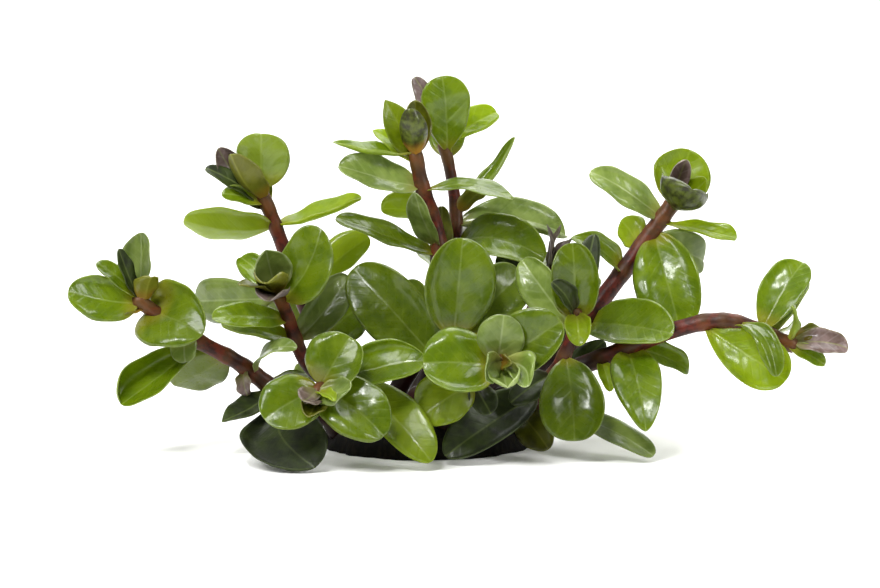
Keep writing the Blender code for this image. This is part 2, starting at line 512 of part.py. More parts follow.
class Blade:
    """The curved surface of a leaf, found from its foot, tip and way of facing."""

    def __init__(self, leaf, foot):
        """Work out the blade's directions.

        Args:
            leaf: the leaf's settings.
            foot: where it starts.
        """
        self.leaf = leaf
        self.foot = foot
        chord = Vector(leaf.tip) - foot
        self.length = chord.length
        self.ahead = chord.normalized()
        face = Vector(leaf.face)
        self.up = (face - self.ahead * face.dot(self.ahead)).normalized()
        self.side = self.ahead.cross(self.up)
        rise, fall = leaf.outline.value
        widest = rise / (rise + fall)
        self.full = widest**rise * (1 - widest) ** fall

    def half_width(self, t):
        """Return half the width at a share of the length."""
        rise, fall = self.leaf.outline.value
        swell = t**rise * (1 - t) ** fall / self.full
        foot = LEAF_FOOT_WIDTH / self.leaf.width * (1 - t) ** 3
        return self.leaf.width / 2 * max(swell, foot)

    def midrib(self, t):
        """Return the midrib's place at t and the upper side's way there."""
        peak, rise = self.leaf.peak, 2 * self.leaf.rise
        run = 2 * t * (1 - t) * peak + t * t
        lift = 2 * t * (1 - t) * rise
        bow = 4 * t * (1 - t) * self.leaf.sweep
        place = self.foot + (self.ahead * run + self.up * lift + self.side * bow) * self.length
        slope = self.ahead * (2 * (1 - 2 * t) * peak + 2 * t) + self.up * (2 * (1 - 2 * t) * rise)
        return place, self.side.cross(slope.normalized()).normalized()

    def place(self, t, s):
        """Return the place at a share of the length and s across, from -1 to 1."""
        middle, up = self.midrib(t)
        if self.leaf.outline is Outline.HEART:
            middle = middle - self.ahead * (HEART_LOBE * self.leaf.width * abs(s) * (1 - t) ** 3)
        turned = radians(self.leaf.twist) * t
        side = self.side * cos(turned) + up * sin(turned)
        up = up * cos(turned) - self.side * sin(turned)
        bend = radians(self.leaf.cup) * (0.4 + 0.6 * abs(s))
        reach = self.half_width(t) * abs(s)
        return middle + side * (reach * cos(bend) * (1 if s > 0 else -1)) + up * (reach * sin(bend))


def leaf_object(leaf, stem, name):
    """Make a leaf as a thin curved solid, thick along the midrib and thin at the margin."""
    blade = Blade(leaf, leaf_foot(leaf, stem))
    grids = OWN_GRIDS if leaf.own else FUSED_GRIDS
    rows, columns = next(grid for least, grid in grids if leaf.width >= least)
    bm = bmesh.new()
    bmesh.ops.create_grid(bm, x_segments=columns - 1, y_segments=rows - 1, size=1.0)
    for corner in [v for v in bm.verts if len(v.link_faces) == 1]:
        face = corner.link_faces[0]
        loop = next(loop for loop in face.loops if loop.vert is corner)
        bmesh.utils.face_split(face, corner, loop.link_loop_next.link_loop_next.vert)
    for vertex in bm.verts:
        row = (vertex.co.y + 1) / 2 * (rows - 1)
        turn = pi * (row + END_INSET) / (rows - 1 + 2 * END_INSET)
        vertex.co = blade.place((1 - cos(turn)) / 2, vertex.co.x) * MM
    upper = bm.faces[:]
    lower = bmesh.ops.duplicate(bm, geom=upper)["geom"]
    lower = [g for g in lower if isinstance(g, bmesh.types.BMFace)]
    bmesh.ops.reverse_faces(bm, faces=lower)
    bm.normal_update()
    for vertex in bm.verts:
        if not vertex.is_boundary:
            vertex.co += vertex.normal * (LEAF_THICKNESS / 2 * MM)
    bmesh.ops.remove_doubles(bm, verts=bm.verts, dist=MERGE_WITHIN * MM)
    return new_object(name, bm, leaf.tone)


def whorl_leaves(whorl, stem):
    """Return the leaves of a whorl, each with its upper side to the stem's tip."""
    place, ahead = place_along(stem_curve(stem), whorl.along)
    back = Vector((0, 1, 0))
    back = (back - ahead * back.dot(ahead)).normalized()
    spread = radians(whorl.spread)
    leaves = []
    for turn in whorl.turns:
        out = Matrix.Rotation(radians(turn), 3, ahead) @ back
        tip = place + (ahead * cos(spread) + out * sin(spread)) * whorl.length
        face = ahead * sin(spread) - out * cos(spread)
        leaves.append(
            Leaf("whorl", whorl.stem, whorl.along, tuple(tip), tuple(face), whorl.width, rise=WHORL_RISE)
        )
    return leaves


def solid_mesh(thing):
    """Return an object's mesh with its modifiers applied."""
    view = bpy.context.evaluated_depsgraph_get()
    return bpy.data.meshes.new_from_object(thing.evaluated_get(view))


def stem_object(stem):
    """Make a stem with its young and small leaves fused on."""
    thing = new_object(stem.name, stem_mesh(stem), Tone.STEM)
    fused = [leaf for leaf in LEAVES if leaf.stem == stem.name and not leaf.own]
    for whorl in WHORLS:
        if whorl.stem == stem.name:
            fused += whorl_leaves(whorl, stem)
    helpers = bpy.data.collections.new("helpers")
    for leaf in fused:
        helpers.objects.link(leaf_object(leaf, stem, "helper"))
    join = thing.modifiers.new("join", "BOOLEAN")
    join.operation = "UNION"
    join.solver = "EXACT"
    join.operand_type = "COLLECTION"
    join.collection = helpers
    plain = thing.data
    thing.data = solid_mesh(thing)
    thing.data.name = stem.name
    thing.modifiers.clear()
    bpy.data.meshes.remove(plain)
    for helper in list(helpers.objects):
        bpy.data.objects.remove(helper)
    bpy.data.collections.remove(helpers)
    return thing


def main():
    """Build the crown, the stems and the leaves."""
    for thing in list(bpy.data.objects):
        bpy.data.objects.remove(thing)
    crown()
    by_name = {stem.name: stem for stem in STEMS}
    for stem in STEMS:
        stem_object(stem)
    for leaf in LEAVES:
        if leaf.own:
            leaf_object(leaf, by_name[leaf.stem], leaf.name)


main()
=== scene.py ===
"""Looks of the orange juice rotala: a bushy clump of leafy shoots, cut off flat.

A shoot is one stem with its leaves. A leaf is a thin closed blade with a grooved
midrib, quilted halves, a waving margin and edges that may roll. The low crown holds
the feet of all the shoots. The tables give places and sizes in millimetres, with X
right, Y back and Z up, and the meshes get them in metres.
"""

import logging
from dataclasses import dataclass
from enum import Enum
from functools import cached_property
from math import cos, exp, pi, radians, sin, sqrt
from random import Random

import bmesh
import bpy
from mathutils import Matrix, Vector, noise


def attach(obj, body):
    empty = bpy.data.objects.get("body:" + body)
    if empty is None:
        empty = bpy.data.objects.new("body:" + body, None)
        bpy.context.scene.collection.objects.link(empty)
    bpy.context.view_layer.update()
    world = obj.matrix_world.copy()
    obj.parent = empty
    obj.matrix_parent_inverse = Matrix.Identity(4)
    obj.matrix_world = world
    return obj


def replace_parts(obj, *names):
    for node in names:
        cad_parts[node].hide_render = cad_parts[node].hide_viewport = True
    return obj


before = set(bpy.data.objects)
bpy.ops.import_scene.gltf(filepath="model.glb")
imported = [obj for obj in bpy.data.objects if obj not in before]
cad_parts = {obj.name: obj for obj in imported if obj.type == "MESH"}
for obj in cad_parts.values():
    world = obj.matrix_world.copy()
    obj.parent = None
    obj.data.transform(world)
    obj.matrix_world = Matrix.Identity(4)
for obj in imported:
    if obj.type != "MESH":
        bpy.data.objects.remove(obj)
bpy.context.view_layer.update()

MM = 0.001
BODY = "root"
log = logging.getLogger("rotala")

# Crown
CROWN_MIDDLE = Vector((-3.0, 0.0, 0.0))
CROWN_HALF = Vector((21.0, 16.0, 8.0))

# Stems
STEM_FOOT_RADIUS = 1.8
STEM_TIP_RADIUS = 1.25
STEM_SIDES = 20
STEM_RING_SPACING = 0.8
STEM_FOOT_OUT = 0.3
STEM_LEAVES_CROWN = 3.0
STEM_ROOTED = 2.0
STEM_TIP_DOME = 1.3
STEM_TIP_FLAT = 0.08
SHADE_FADE = 0.2
STEPS_PER_SPAN = 8
NODE_SWELL = 0.16
NODE_REACH = 1.3
RIDGES = 4
RIDGE_DEPTH = 0.05
STEM_MEASURES = ("share", "joint", "shade")

# Leaves
LEAF_FOOT_WIDTH = 1.9
LEAF_ROOTED = 0.5
HALF_THICKNESS = 0.17
MARGIN_ROUNDING = 0.45
GROOVE = 0.12
KEEL = 0.14
RIB_REACH = 0.4
VEIN_SPACING = 2.3
VEIN_LEAN = 1.0
BUMP_SIZE = 3.2
MARGIN_WAVE = 0.25
MARGIN_WAVES = 2.2
QUILTING = 0.05
CUP_AT_RIB = 0.4
RELIEF_FROM_FOOT = 6
RELIEF_FROM_RIB = 5
HOOK_FROM = 0.55
HOOK_CHANCE = (0.0, 0.07)
HEART_LOBE = 0.2
ROLL_FROM = 0.55
ROLL_CHANCE = (-22, 26)
NOISE_FIELD = 90
BLADE_MEASURES = ("across", "along", "margin", "under", "tone")
LARGE_GRID = (44, 26)
SMALL_GRID = (26, 16)
END_INSET = 0.3
MERGE_WITHIN = 0.002


class Outline(Enum):
    """How a blade's width runs, as powers of the way from the foot and from the tip."""

    ROUND = (0.45, 0.43)
    OVAL = (0.58, 0.47)
    SPOON = (0.85, 0.42)
    EGG = (0.42, 0.62)
    LANCE = (0.75, 0.85)
    HEART = (0.30, 0.50)


def linear(colour: str) -> tuple[float, float, float, float]:
    """Turn an sRGB hex colour into a linear one.

    Args:
        colour: six hex digits.

    Returns:
        Red, green and blue, and an alpha of 1.
    """
    channels = [int(colour[i : i + 2], 16) / 255 for i in (0, 2, 4)]
    red, green, blue = (c / 12.92 if c <= 0.04045 else ((c + 0.055) / 1.055) ** 2.4 for c in channels)
    return red, green, blue, 1.0


class Use(Enum):
    """What a tree of nodes is for."""

    MATERIAL = "Material"
    WORLD = "World"


class Recipe:
    """A material, or the light from all round, and its tree of nodes."""

    def __init__(self, name: str, use: Use = Use.MATERIAL) -> None:
        """Start with no nodes.

        Args:
            name: what it is called.
            use: what the nodes are for.
        """
        kinds = {Use.MATERIAL: bpy.data.materials, Use.WORLD: bpy.data.worlds}
        self.use = use
        self.made = kinds[use].new(name)
        self.made.use_nodes = True
        self.tree = self.made.node_tree
        self.tree.nodes.clear()

    def add(
        self, kind: str, output: int | str, inputs: dict[int | str, object], **settings: object
    ) -> bpy.types.NodeSocket:
        """Add a node with its settings, values and links.

        Args:
            kind: the node's type, without the words that all types start with.
            output: which of its outputs is wanted, by name, or by number where names repeat.
            inputs: a value or another node's output for each input, named in the same way.
            settings: the node's own properties.

        Returns:
            The wanted output.
        """
        made = self.tree.nodes.new("ShaderNode" + kind)
        for name, value in settings.items():
            setattr(made, name, value)
        for name, value in inputs.items():
            if isinstance(value, bpy.types.NodeSocket):
                self.tree.links.new(value, made.inputs[name])
            else:
                made.inputs[name].default_value = value
        return made.outputs[output]

    def finish(self, surface: bpy.types.NodeSocket) -> bpy.types.Material | bpy.types.World:
        """Join the surface to the tree's output.

        Args:
            surface: the last shader's output.

        Returns:
            The material or the world.
        """
        out = self.tree.nodes.new("ShaderNodeOutput" + self.use.value)
        self.tree.links.new(surface, out.inputs["Surface"])
        return self.made


@dataclass(frozen=True)
class LeafFinish:
    """Living leaf: a waxy skin over green tissue that lets some light through.

    Args:
        name: the material's name.
        slot: the name of a material slot; not used.
        body: the common colour of the blade.
        deep: the colour of its darker patches.
        pale: the colour of its side veins and its under side.
        rib: the colour of its midrib and margin.
        foot: the colour where it joins the stem.
        glow: the colour of the light that comes through it.
        through: the share of light that comes through it.
        roughness: how dull its wax is.
        wax: how much clear wax lies over it.
        rib_shows: how clearly the midrib shows.
        veins_show: how clearly the side veins show.
        foot_shows: how clearly its foot is of another colour.
        patch_size: how wide a patch of tissue is, in millimetres.
    """

    name: str
    slot: str
    body: str
    deep: str
    pale: str
    rib: str
    foot: str
    glow: str
    through: float
    roughness: float
    wax: float
    rib_shows: float = 0.25
    veins_show: float = 0.08
    foot_shows: float = 0.45
    patch_size: float = 4.0

    @cached_property
    def material(self) -> bpy.types.Material:
        """Make the finish's material, on its first use.

        Returns:
            The material.
        """
        recipe = Recipe(self.name)
        add = recipe.add
        place = add("TexCoord", "Object", {})
        across, along, margin, under, tone = (
            add("Attribute", "Fac", {}, attribute_name=measure) for measure in BLADE_MEASURES
        )
        across = add("Math", 0, {0: across}, operation="ABSOLUTE")
        # Patches are as wide as the finish says, and the skin's grain is about 0.5 mm wide
        fine = 1000.0 / self.patch_size
        patches = add("TexNoise", "Fac", {"Vector": place, "Scale": fine, "Detail": 3.0, "Roughness": 0.6})
        grain = add("TexNoise", "Fac", {"Vector": place, "Scale": 1900.0, "Detail": 2.0})
        patch = add("MapRange", 0, {0: patches, 1: 0.36, 2: 0.66}, interpolation_type="SMOOTHSTEP")
        rib = add("MapRange", 0, {0: across, 1: 0.3, 2: 0.08}, interpolation_type="SMOOTHSTEP")
        edge = add("MapRange", 0, {0: margin, 1: 0.3, 2: 0.05}, interpolation_type="SMOOTHSTEP")
        foot = add("MapRange", 0, {0: along, 1: 4.0, 2: 0.8}, interpolation_type="SMOOTHSTEP")
        # Side veins leave the midrib at a slant, a little over 2 mm apart
        row = add("Math", 0, {0: across, 1: -VEIN_LEAN, 2: along}, operation="MULTIPLY_ADD")
        row = add("Math", 0, {0: row, 1: 2 * pi / VEIN_SPACING}, operation="MULTIPLY")
        row = add("Math", 0, {0: patches, 1: 2.5, 2: row}, operation="MULTIPLY_ADD")
        vein = add("Math", 0, {0: row}, operation="COSINE")
        vein = add("MapRange", 0, {0: vein, 1: 0.7, 2: 1.0})
        colour = add("Mix", 2, {0: patch, 6: linear(self.body), 7: linear(self.deep)}, data_type="RGBA")
        for mask, share, hue in (
            (vein, self.veins_show, self.pale),
            (under, 0.5, self.pale),
            (edge, 0.16, self.rib),
            (rib, self.rib_shows, self.rib),
            (foot, self.foot_shows, self.foot),
        ):
            factor = add("Math", 0, {0: mask, 1: share}, operation="MULTIPLY")
            colour = add("Mix", 2, {0: factor, 6: colour, 7: linear(hue)}, data_type="RGBA")
        # Each leaf's tone makes its colour lighter or darker: partly the leaf's own colour, partly painted
        # shade on leaves deep in the clump
        bright = add("Math", 0, {0: tone, 1: 0.5, 2: 1.0}, operation="MULTIPLY_ADD")
        colour = add("HueSaturation", 0, {"Value": bright, "Color": colour})
        shine = add("Mix", 2, {0: 0.7, 6: colour, 7: linear(self.glow)}, data_type="RGBA")
        shine = add("HueSaturation", 0, {"Value": bright, "Color": shine})
        least, most = self.roughness - 0.05, self.roughness + 0.08
        dull = add("MapRange", 0, {0: grain, 1: 0.3, 2: 0.7, 3: least, 4: most})
        height = add("Math", 0, {0: vein, 1: -0.6, 2: grain}, operation="MULTIPLY_ADD")
        # Dents about 2 mm wide break up the highlights
        dents = add("TexNoise", "Fac", {"Vector": place, "Scale": 480.0, "Detail": 1.0})
        bump = add("Bump", 0, {"Height": dents, "Distance": 0.0004, "Strength": 0.5})
        bump = add("Bump", 0, {"Height": height, "Distance": 0.00005, "Strength": 0.6, "Normal": bump})
        skin = add(
            "BsdfPrincipled", 0,
            {
                "Base Color": colour,
                "Roughness": dull,
                "IOR": 1.45,
                "Specular IOR Level": 0.35,
                "Coat Weight": self.wax,
                "Coat Roughness": 0.15,
                "Normal": bump,
            },
        )
        light = add("BsdfTranslucent", 0, {"Color": shine, "Normal": bump})
        return recipe.finish(add("MixShader", 0, {0: self.through, 1: skin, 2: light}))


# Grown leaf: glossy mid green, with a pale thin midrib and margin
FRESH = LeafFinish(
    "waxy_green_leaf", "leaf_green",
    body="65790C", deep="4F6504", pale="8C9C3C", rib="B4C07A", foot="9C8C28", glow="AABE00",
    through=0.34, roughness=0.3, wax=0.5, rib_shows=0.16,
)
# Leaf seen against the light: a bright yellow green copy of the leaf colour, painted for the light coming
# through it (painted backlight)
BRIGHT = LeafFinish(
    "sunlit_yellow_green_leaf", "leaf_light",
    body="8CA010", deep="748A06", pale="A4B03A", rib="BEC86A", foot="A89A38", glow="CCE000",
    through=0.5, roughness=0.36, wax=0.4, veins_show=0.14,
)
# Dark olive leaf
OLIVE = LeafFinish(
    "olive_leaf", "leaf_dark",
    body="565A0C", deep="3C3C08", pale="6A6A20", rib="A0A04C", foot="84601E", glow="8E9600",
    through=0.3, roughness=0.4, wax=0.3, foot_shows=0.75,
)
# Leaf deep in the clump, painted near black green for the shade that it lies in (painted shade)
SHADED = LeafFinish(
    "shaded_dark_leaf", "leaf_dark",
    body="2C380A", deep="161E04", pale="36421A", rib="66743C", foot="36330F", glow="4A5E00",
    through=0.2, roughness=0.5, wax=0.08, rib_shows=0.35,
)
# Leaf painted soft grey green for the grey white sheen that reflected light leaves on its wax (painted
# sheen)
GREY = LeafFinish(
    "bloomy_grey_green_leaf", "leaf_grey",
    body="7A8B42", deep="5E712A", pale="9AA86C", rib="BAC492", foot="96904A", glow="AABE3C",
    through=0.25, roughness=0.38, wax=0.45,
)
# Leaf just out of the bud: grey purple, still folded and soft
YOUNG = LeafFinish(
    "young_purple_leaf", "leaf_grey",
    body="74625F", deep="4A3A34", pale="A0928E", rib="8E9A4E", foot="6A6A30", glow="9A8A50",
    through=0.2, roughness=0.45, wax=0.3, veins_show=0.15, foot_shows=0.75,
)
# Scale of a closed bud: olive green, mottled near black, with an orange foot
MOTTLED = LeafFinish(
    "mottled_bud_scale", "leaf_dark",
    body="6A7A22", deep="0C0A02", pale="303208", rib="4A4E1C", foot="A8742A", glow="7A7A10",
    through=0.1, roughness=0.4, wax=0.3, foot_shows=0.9, patch_size=1.6,
)


@dataclass(frozen=True)
class StemFinish:
    """Juicy stem skin: dark maroon, redder between the joints and green at the tip.

    Args:
        name: the material's name.
        slot: the name of a material slot; not used.
        body: the common colour.
        dark: the colour of the shaded and older skin.
        red: the colour of the streaks between the joints.
        young: the colour at the tip.
        scar: the colour of the ring at each joint.
    """

    name: str = "maroon_stem_skin"
    slot: str = "stem"
    body: str = "2A0A04"
    dark: str = "160301"
    red: str = "541A0B"
    young: str = "4E3C16"
    scar: str = "6A4A20"

    @cached_property
    def material(self) -> bpy.types.Material:
        """Make the finish's material, on its first use.

        Returns:
            The material.
        """
        recipe = Recipe(self.name)
        add = recipe.add
        place = add("TexCoord", "Object", {})
        share, joint, shade = (
            add("Attribute", "Fac", {}, attribute_name=measure) for measure in STEM_MEASURES
        )
        # Streaks are about 3 mm long, and the skin's grain is about 0.4 mm
        long = {"Vector": place, "Scale": 330.0, "Detail": 4.0, "Roughness": 0.65}
        streaks = add("TexNoise", "Fac", long)
        grain = add("TexNoise", "Fac", {"Vector": place, "Scale": 2400.0, "Detail": 2.0})
        streak = add("MapRange", 0, {0: streaks, 1: 0.42, 2: 0.62}, interpolation_type="SMOOTHSTEP")
        fresh = add("MapRange", 0, {0: share, 1: 0.8, 2: 1.0}, interpolation_type="SMOOTHSTEP")
        colour = add("Mix", 2, {0: streak, 6: linear(self.body), 7: linear(self.red)}, data_type="RGBA")
        for mask, strength, hue in (
            (shade, 0.9, self.dark), (fresh, 0.4, self.young), (joint, 0.3, self.scar)
        ):
            factor = add("Math", 0, {0: mask, 1: strength}, operation="MULTIPLY")
            colour = add("Mix", 2, {0: factor, 6: colour, 7: linear(hue)}, data_type="RGBA")
        bump = add("Bump", 0, {"Height": grain, "Distance": 0.00006, "Strength": 0.5})
        dull = add("MapRange", 0, {0: grain, 1: 0.3, 2: 0.7, 3: 0.38, 4: 0.55})
        skin = add(
            "BsdfPrincipled", 0,
            {
                "Base Color": colour,
                "Roughness": dull,
                "IOR": 1.45,
                "Specular IOR Level": 0.3,
                "Normal": bump,
            },
        )
        return recipe.finish(skin)


# Stem skin: near black maroon with a soft shine, redder in streaks between the joints
STEM_SKIN = StemFinish()


@dataclass(frozen=True)
class CrownFinish:
    """Old stem feet grown together, matte and fibrous: dark old tissue, painted near black for the shade
    under the leaves (painted shade).

    Args:
        name: the material's name.
        slot: the name of a material slot; not used.
        body: the common colour, near black: painted shade over dark old tissue.
        worn: the colour of the raised fibres.
    """

    name: str = "dark_fibrous_crown"
    slot: str = "crown"
    body: str = "060503"
    worn: str = "18130A"

    @cached_property
    def material(self) -> bpy.types.Material:
        """Make the finish's material, on its first use.

        Returns:
            The material.
        """
        recipe = Recipe(self.name)
        add = recipe.add
        place = add("TexCoord", "Object", {})
        # Fibres run up and down, about 0.9 mm wide and 4 mm long
        stretched = add("Mapping", 0, {0: place, "Scale": (1.0, 1.0, 0.25)})
        fibres = add("TexNoise", "Fac", {"Vector": stretched, "Scale": 1100.0, "Detail": 4.0})
        raised = add("MapRange", 0, {0: fibres, 1: 0.45, 2: 0.7}, interpolation_type="SMOOTHSTEP")
        colour = add("Mix", 2, {0: raised, 6: linear(self.body), 7: linear(self.worn)}, data_type="RGBA")
        bump = add("Bump", 0, {"Height": fibres, "Distance": 0.0003, "Strength": 0.8})
        skin = add(
            "BsdfPrincipled", 0,
            {"Base Color": colour, "Roughness": 0.9, "Specular IOR Level": 0.2, "Normal": bump},
        )
        return recipe.finish(skin)


# Old stem feet, painted near black for the shade under the leaves (painted shade), with no shine and worn
# browner on the fibres
CROWN_TISSUE = CrownFinish()


@dataclass(frozen=True)
class Leaf:
    """One leaf blade.

    Args:
        name: its own CAD node's name, or a plain word if the stem's node holds it.
        along: where it grows on the stem, from 0 at the foot to 1 at the tip.
        tip: where it ends.
        face: the way that its upper side looks.
        width: its width across.
        outline: how that width runs.
        rise: how far its midrib bulges to the upper side, in shares of its length.
        peak: where along it that is.
        cup: how far the margins turn up, in degrees.
        look: its finish.
        tone: how light it is, from -1 to 1, partly for its own colour and partly as painted shade on leaves
            deep in the clump.
        bumps: how far it is dented here and there.
        roll: how far its left and right margins roll up, in degrees, or None for chance.
        hook: how far its tip bends down, in shares of its length, or None for chance.
        sweep: how far its midrib bows sideways, in shares of its length.
    """

    name: str
    along: float
    tip: tuple[float, float, float]
    face: tuple[float, float, float]
    width: float
    outline: Outline = Outline.OVAL
    rise: float = 0.06
    peak: float = 0.5
    cup: float = 14.0
    look: LeafFinish = FRESH
    tone: float = 0.0
    bumps: float = 0.16
    roll: tuple[float, float] | None = None
    hook: float | None = None
    sweep: float = 0.0

    @property
    def own(self) -> bool:
        """Whether it has a CAD node of its own."""
        return self.name.startswith("leaf_")


@dataclass(frozen=True)
class Whorl:
    """Leaves that stand round a stem at one place.

    Args:
        along: where they grow on the stem, from 0 to 1.
        turns: the way each points round the stem, in degrees from the back.
        length: their length.
        width: their width.
        spread: the angle that they leave the stem at, in degrees.
    """

    along: float
    turns: tuple[float, ...]
    length: float
    width: float
    spread: float


class Blade:
    """The curved surface of a leaf, found from its foot, tip and way of facing."""

    def __init__(self, leaf: Leaf, foot: Vector) -> None:
        """Work out the blade's directions.

        Args:
            leaf: the leaf's settings.
            foot: where it starts.
        """
        self.leaf = leaf
        self.foot = foot
        chord = Vector(leaf.tip) - foot
        self.length = chord.length
        self.ahead = chord.normalized()
        face = Vector(leaf.face)
        self.up = (face - self.ahead * face.dot(self.ahead)).normalized()
        self.side = self.ahead.cross(self.up)
        rise, fall = leaf.outline.value
        widest = rise / (rise + fall)
        self.full = widest**rise * (1 - widest) ** fall
        chance = Random(leaf.name + str(leaf.tip))
        self.phases = [chance.uniform(0, 2 * pi) for _ in range(2)]
        self.start = Vector([chance.uniform(0, NOISE_FIELD) for _ in range(3)])
        self.roll = leaf.roll or (chance.uniform(*ROLL_CHANCE), chance.uniform(*ROLL_CHANCE))
        self.hook = chance.uniform(*HOOK_CHANCE) if leaf.hook is None else leaf.hook

    def half_width(self, t: float) -> float:
        """Find half the width.

        Args:
            t: the share of the length.

        Returns:
            Half the width there.
        """
        rise, fall = self.leaf.outline.value
        swell = t**rise * (1 - t) ** fall / self.full
        foot = LEAF_FOOT_WIDTH / self.leaf.width * (1 - t) ** 3
        return self.leaf.width / 2 * max(swell, foot)

    def midrib(self, t: float) -> tuple[Vector, Vector]:
        """Find the midrib.

        Args:
            t: the share of the length.

        Returns:
            Its place there and the way up from it.
        """
        peak, rise = self.leaf.peak, 2 * self.leaf.rise
        run = 2 * t * (1 - t) * peak + t * t
        lift = 2 * t * (1 - t) * rise
        lift -= self.hook * (max(0.0, t - HOOK_FROM) / (1 - HOOK_FROM)) ** 2
        bow = 4 * t * (1 - t) * self.leaf.sweep
        place = self.foot + (self.ahead * run + self.up * lift + self.side * bow) * self.length
        slope = self.ahead * (2 * (1 - 2 * t) * peak + 2 * t) + self.up * (2 * (1 - 2 * t) * rise)
        return place, self.side.cross(slope.normalized()).normalized()

    def relief(self, t: float, s: float) -> float:
        """Find how far waves, quilting and dents lift the blade.

        Args:
            t: the share of the length.
            s: the place across, from -1 to 1.

        Returns:
            The lift.
        """
        across, along = abs(s) * self.half_width(t), t * self.length
        wave = MARGIN_WAVE * s * s * sin(2 * pi * MARGIN_WAVES * t + self.phases[s > 0])
        between = 0.5 - 0.5 * cos(2 * pi * (along - VEIN_LEAN * across) / VEIN_SPACING)
        quilt = QUILTING * between * min(1.0, RELIEF_FROM_RIB * abs(s)) * (1 - s**4)
        dent = noise.noise(self.start + Vector((s * self.half_width(t), along, 0)) / BUMP_SIZE)
        return min(1.0, RELIEF_FROM_FOOT * t) * (wave + quilt + self.leaf.bumps * dent * (1 - t**6))

    def place(self, t: float, s: float) -> Vector:
        """Find a place on the blade.

        Args:
            t: the share of the length.
            s: the place across, from -1 to 1.

        Returns:
            The place.
        """
        middle, up = self.midrib(t)
        if self.leaf.outline is Outline.HEART:
            middle = middle - self.ahead * (HEART_LOBE * self.leaf.width * abs(s) * (1 - t) ** 3)
        rolled = max(0.0, abs(s) - ROLL_FROM) / (1 - ROLL_FROM)
        cupped = self.leaf.cup * (CUP_AT_RIB + (1 - CUP_AT_RIB) * abs(s))
        bend = radians(cupped + self.roll[s > 0] * rolled**1.5)
        reach = self.half_width(t) * abs(s)
        out = self.side * (reach * cos(bend) * (1 if s > 0 else -1))
        return middle + out + up * (reach * sin(bend) + self.relief(t, s))


def new_piece(
    name: str, mesh: bmesh.types.BMesh, material: bpy.types.Material
) -> bpy.types.Object:
    """Put a mesh in the scene as a smooth piece of the plant.

    Args:
        name: the piece's name.
        mesh: its shape, which is freed.
        material: its material.

    Returns:
        The piece.
    """
    data = bpy.data.meshes.new(name)
    mesh.to_mesh(data)
    mesh.free()
    data.materials.append(material)
    data.shade_smooth()
    piece = bpy.data.objects.new(name, data)
    bpy.context.scene.collection.objects.link(piece)
    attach(piece, BODY)
    log.info("%s: %d faces", name, len(data.polygons))
    return piece


def blade_piece(name: str, leaf: Leaf, foot: Vector) -> bpy.types.Object:
    """Make a leaf: a grid laid on the blade's surface, doubled and closed at the margin.

    Args:
        name: the piece's name.
        leaf: the leaf's settings.
        foot: where it starts.

    Returns:
        The piece.
    """
    blade = Blade(leaf, foot)
    rows, columns = LARGE_GRID if leaf.own else SMALL_GRID
    bm = bmesh.new()
    bmesh.ops.create_grid(bm, x_segments=columns, y_segments=rows, size=1.0)
    measures = {m: bm.verts.layers.float.new(m) for m in BLADE_MEASURES}
    for vertex in bm.verts:
        turn = pi * ((vertex.co.y + 1) / 2 * rows + END_INSET) / (rows + 2 * END_INSET)
        t, s = (1 - cos(turn)) / 2, vertex.co.x
        half = blade.half_width(t)
        vertex[measures["across"]] = s * half
        vertex[measures["along"]] = t * blade.length
        vertex[measures["margin"]] = min((1 - abs(s)) * half, (1 - t) * blade.length)
        vertex[measures["tone"]] = leaf.tone
        vertex.co = blade.place(t, s) * MM
    lower = bmesh.ops.duplicate(bm, geom=bm.faces[:])["geom"]
    lower_faces = [g for g in lower if isinstance(g, bmesh.types.BMFace)]
    bmesh.ops.reverse_faces(bm, faces=lower_faces)
    for vertex in {v for face in lower_faces for v in face.verts}:
        vertex[measures["under"]] = 1.0
    bm.normal_update()
    for vertex in [v for v in bm.verts if not v.is_boundary]:
        fade = 1 - vertex[measures["along"]] / blade.length
        beside = exp(-((vertex[measures["across"]] / RIB_REACH) ** 2)) * fade
        rib = KEEL * beside if vertex[measures["under"]] else -GROOVE * beside
        rounding = sqrt(min(1.0, vertex[measures["margin"]] / MARGIN_ROUNDING))
        vertex.co += vertex.normal * ((HALF_THICKNESS * rounding + rib) * MM)
    bmesh.ops.remove_doubles(bm, verts=[v for v in bm.verts if v.is_boundary], dist=MERGE_WITHIN * MM)
    return new_piece(name, bm, leaf.look.material)


def crown_place(turn: float, lift: float, out: float = 0.0) -> tuple[Vector, Vector]:
    """Find a place on the crown's dome.

    Args:
        turn: the way round from +X, in degrees.
        lift: the way up its side, in degrees.
        out: how far out of the dome.

    Returns:
        The place and the way out of the dome there.
    """
    level, side = radians(lift), radians(turn)
    unit = Vector((cos(level) * cos(side), cos(level) * sin(side), sin(level)))
    place = Vector(u * h for u, h in zip(unit, CROWN_HALF))
    normal = Vector(u / h for u, h in zip(unit, CROWN_HALF)).normalized()
    return CROWN_MIDDLE + place + normal * out, normal


def smooth_path(points: list[Vector]) -> list[Vector]:
    """Draw a Catmull-Rom spline through a few places.

    Args:
        points: the places.

    Returns:
        Close places along the curve.
    """
    ends = [points[0] * 2 - points[1], *points, points[-1] * 2 - points[-2]]
    curve = []
    for a, b, c, d in zip(ends, ends[1:], ends[2:], ends[3:]):
        for step in range(STEPS_PER_SPAN):
            t = step / STEPS_PER_SPAN
            curve.append(
                b
                + (c - a) * (t / 2)
                + (a * 2 - b * 5 + c * 4 - d) * (t**2 / 2)
                + (b * 3 - a - c * 3 + d) * (t**3 / 2)
            )
    return [*curve, points[-1]]


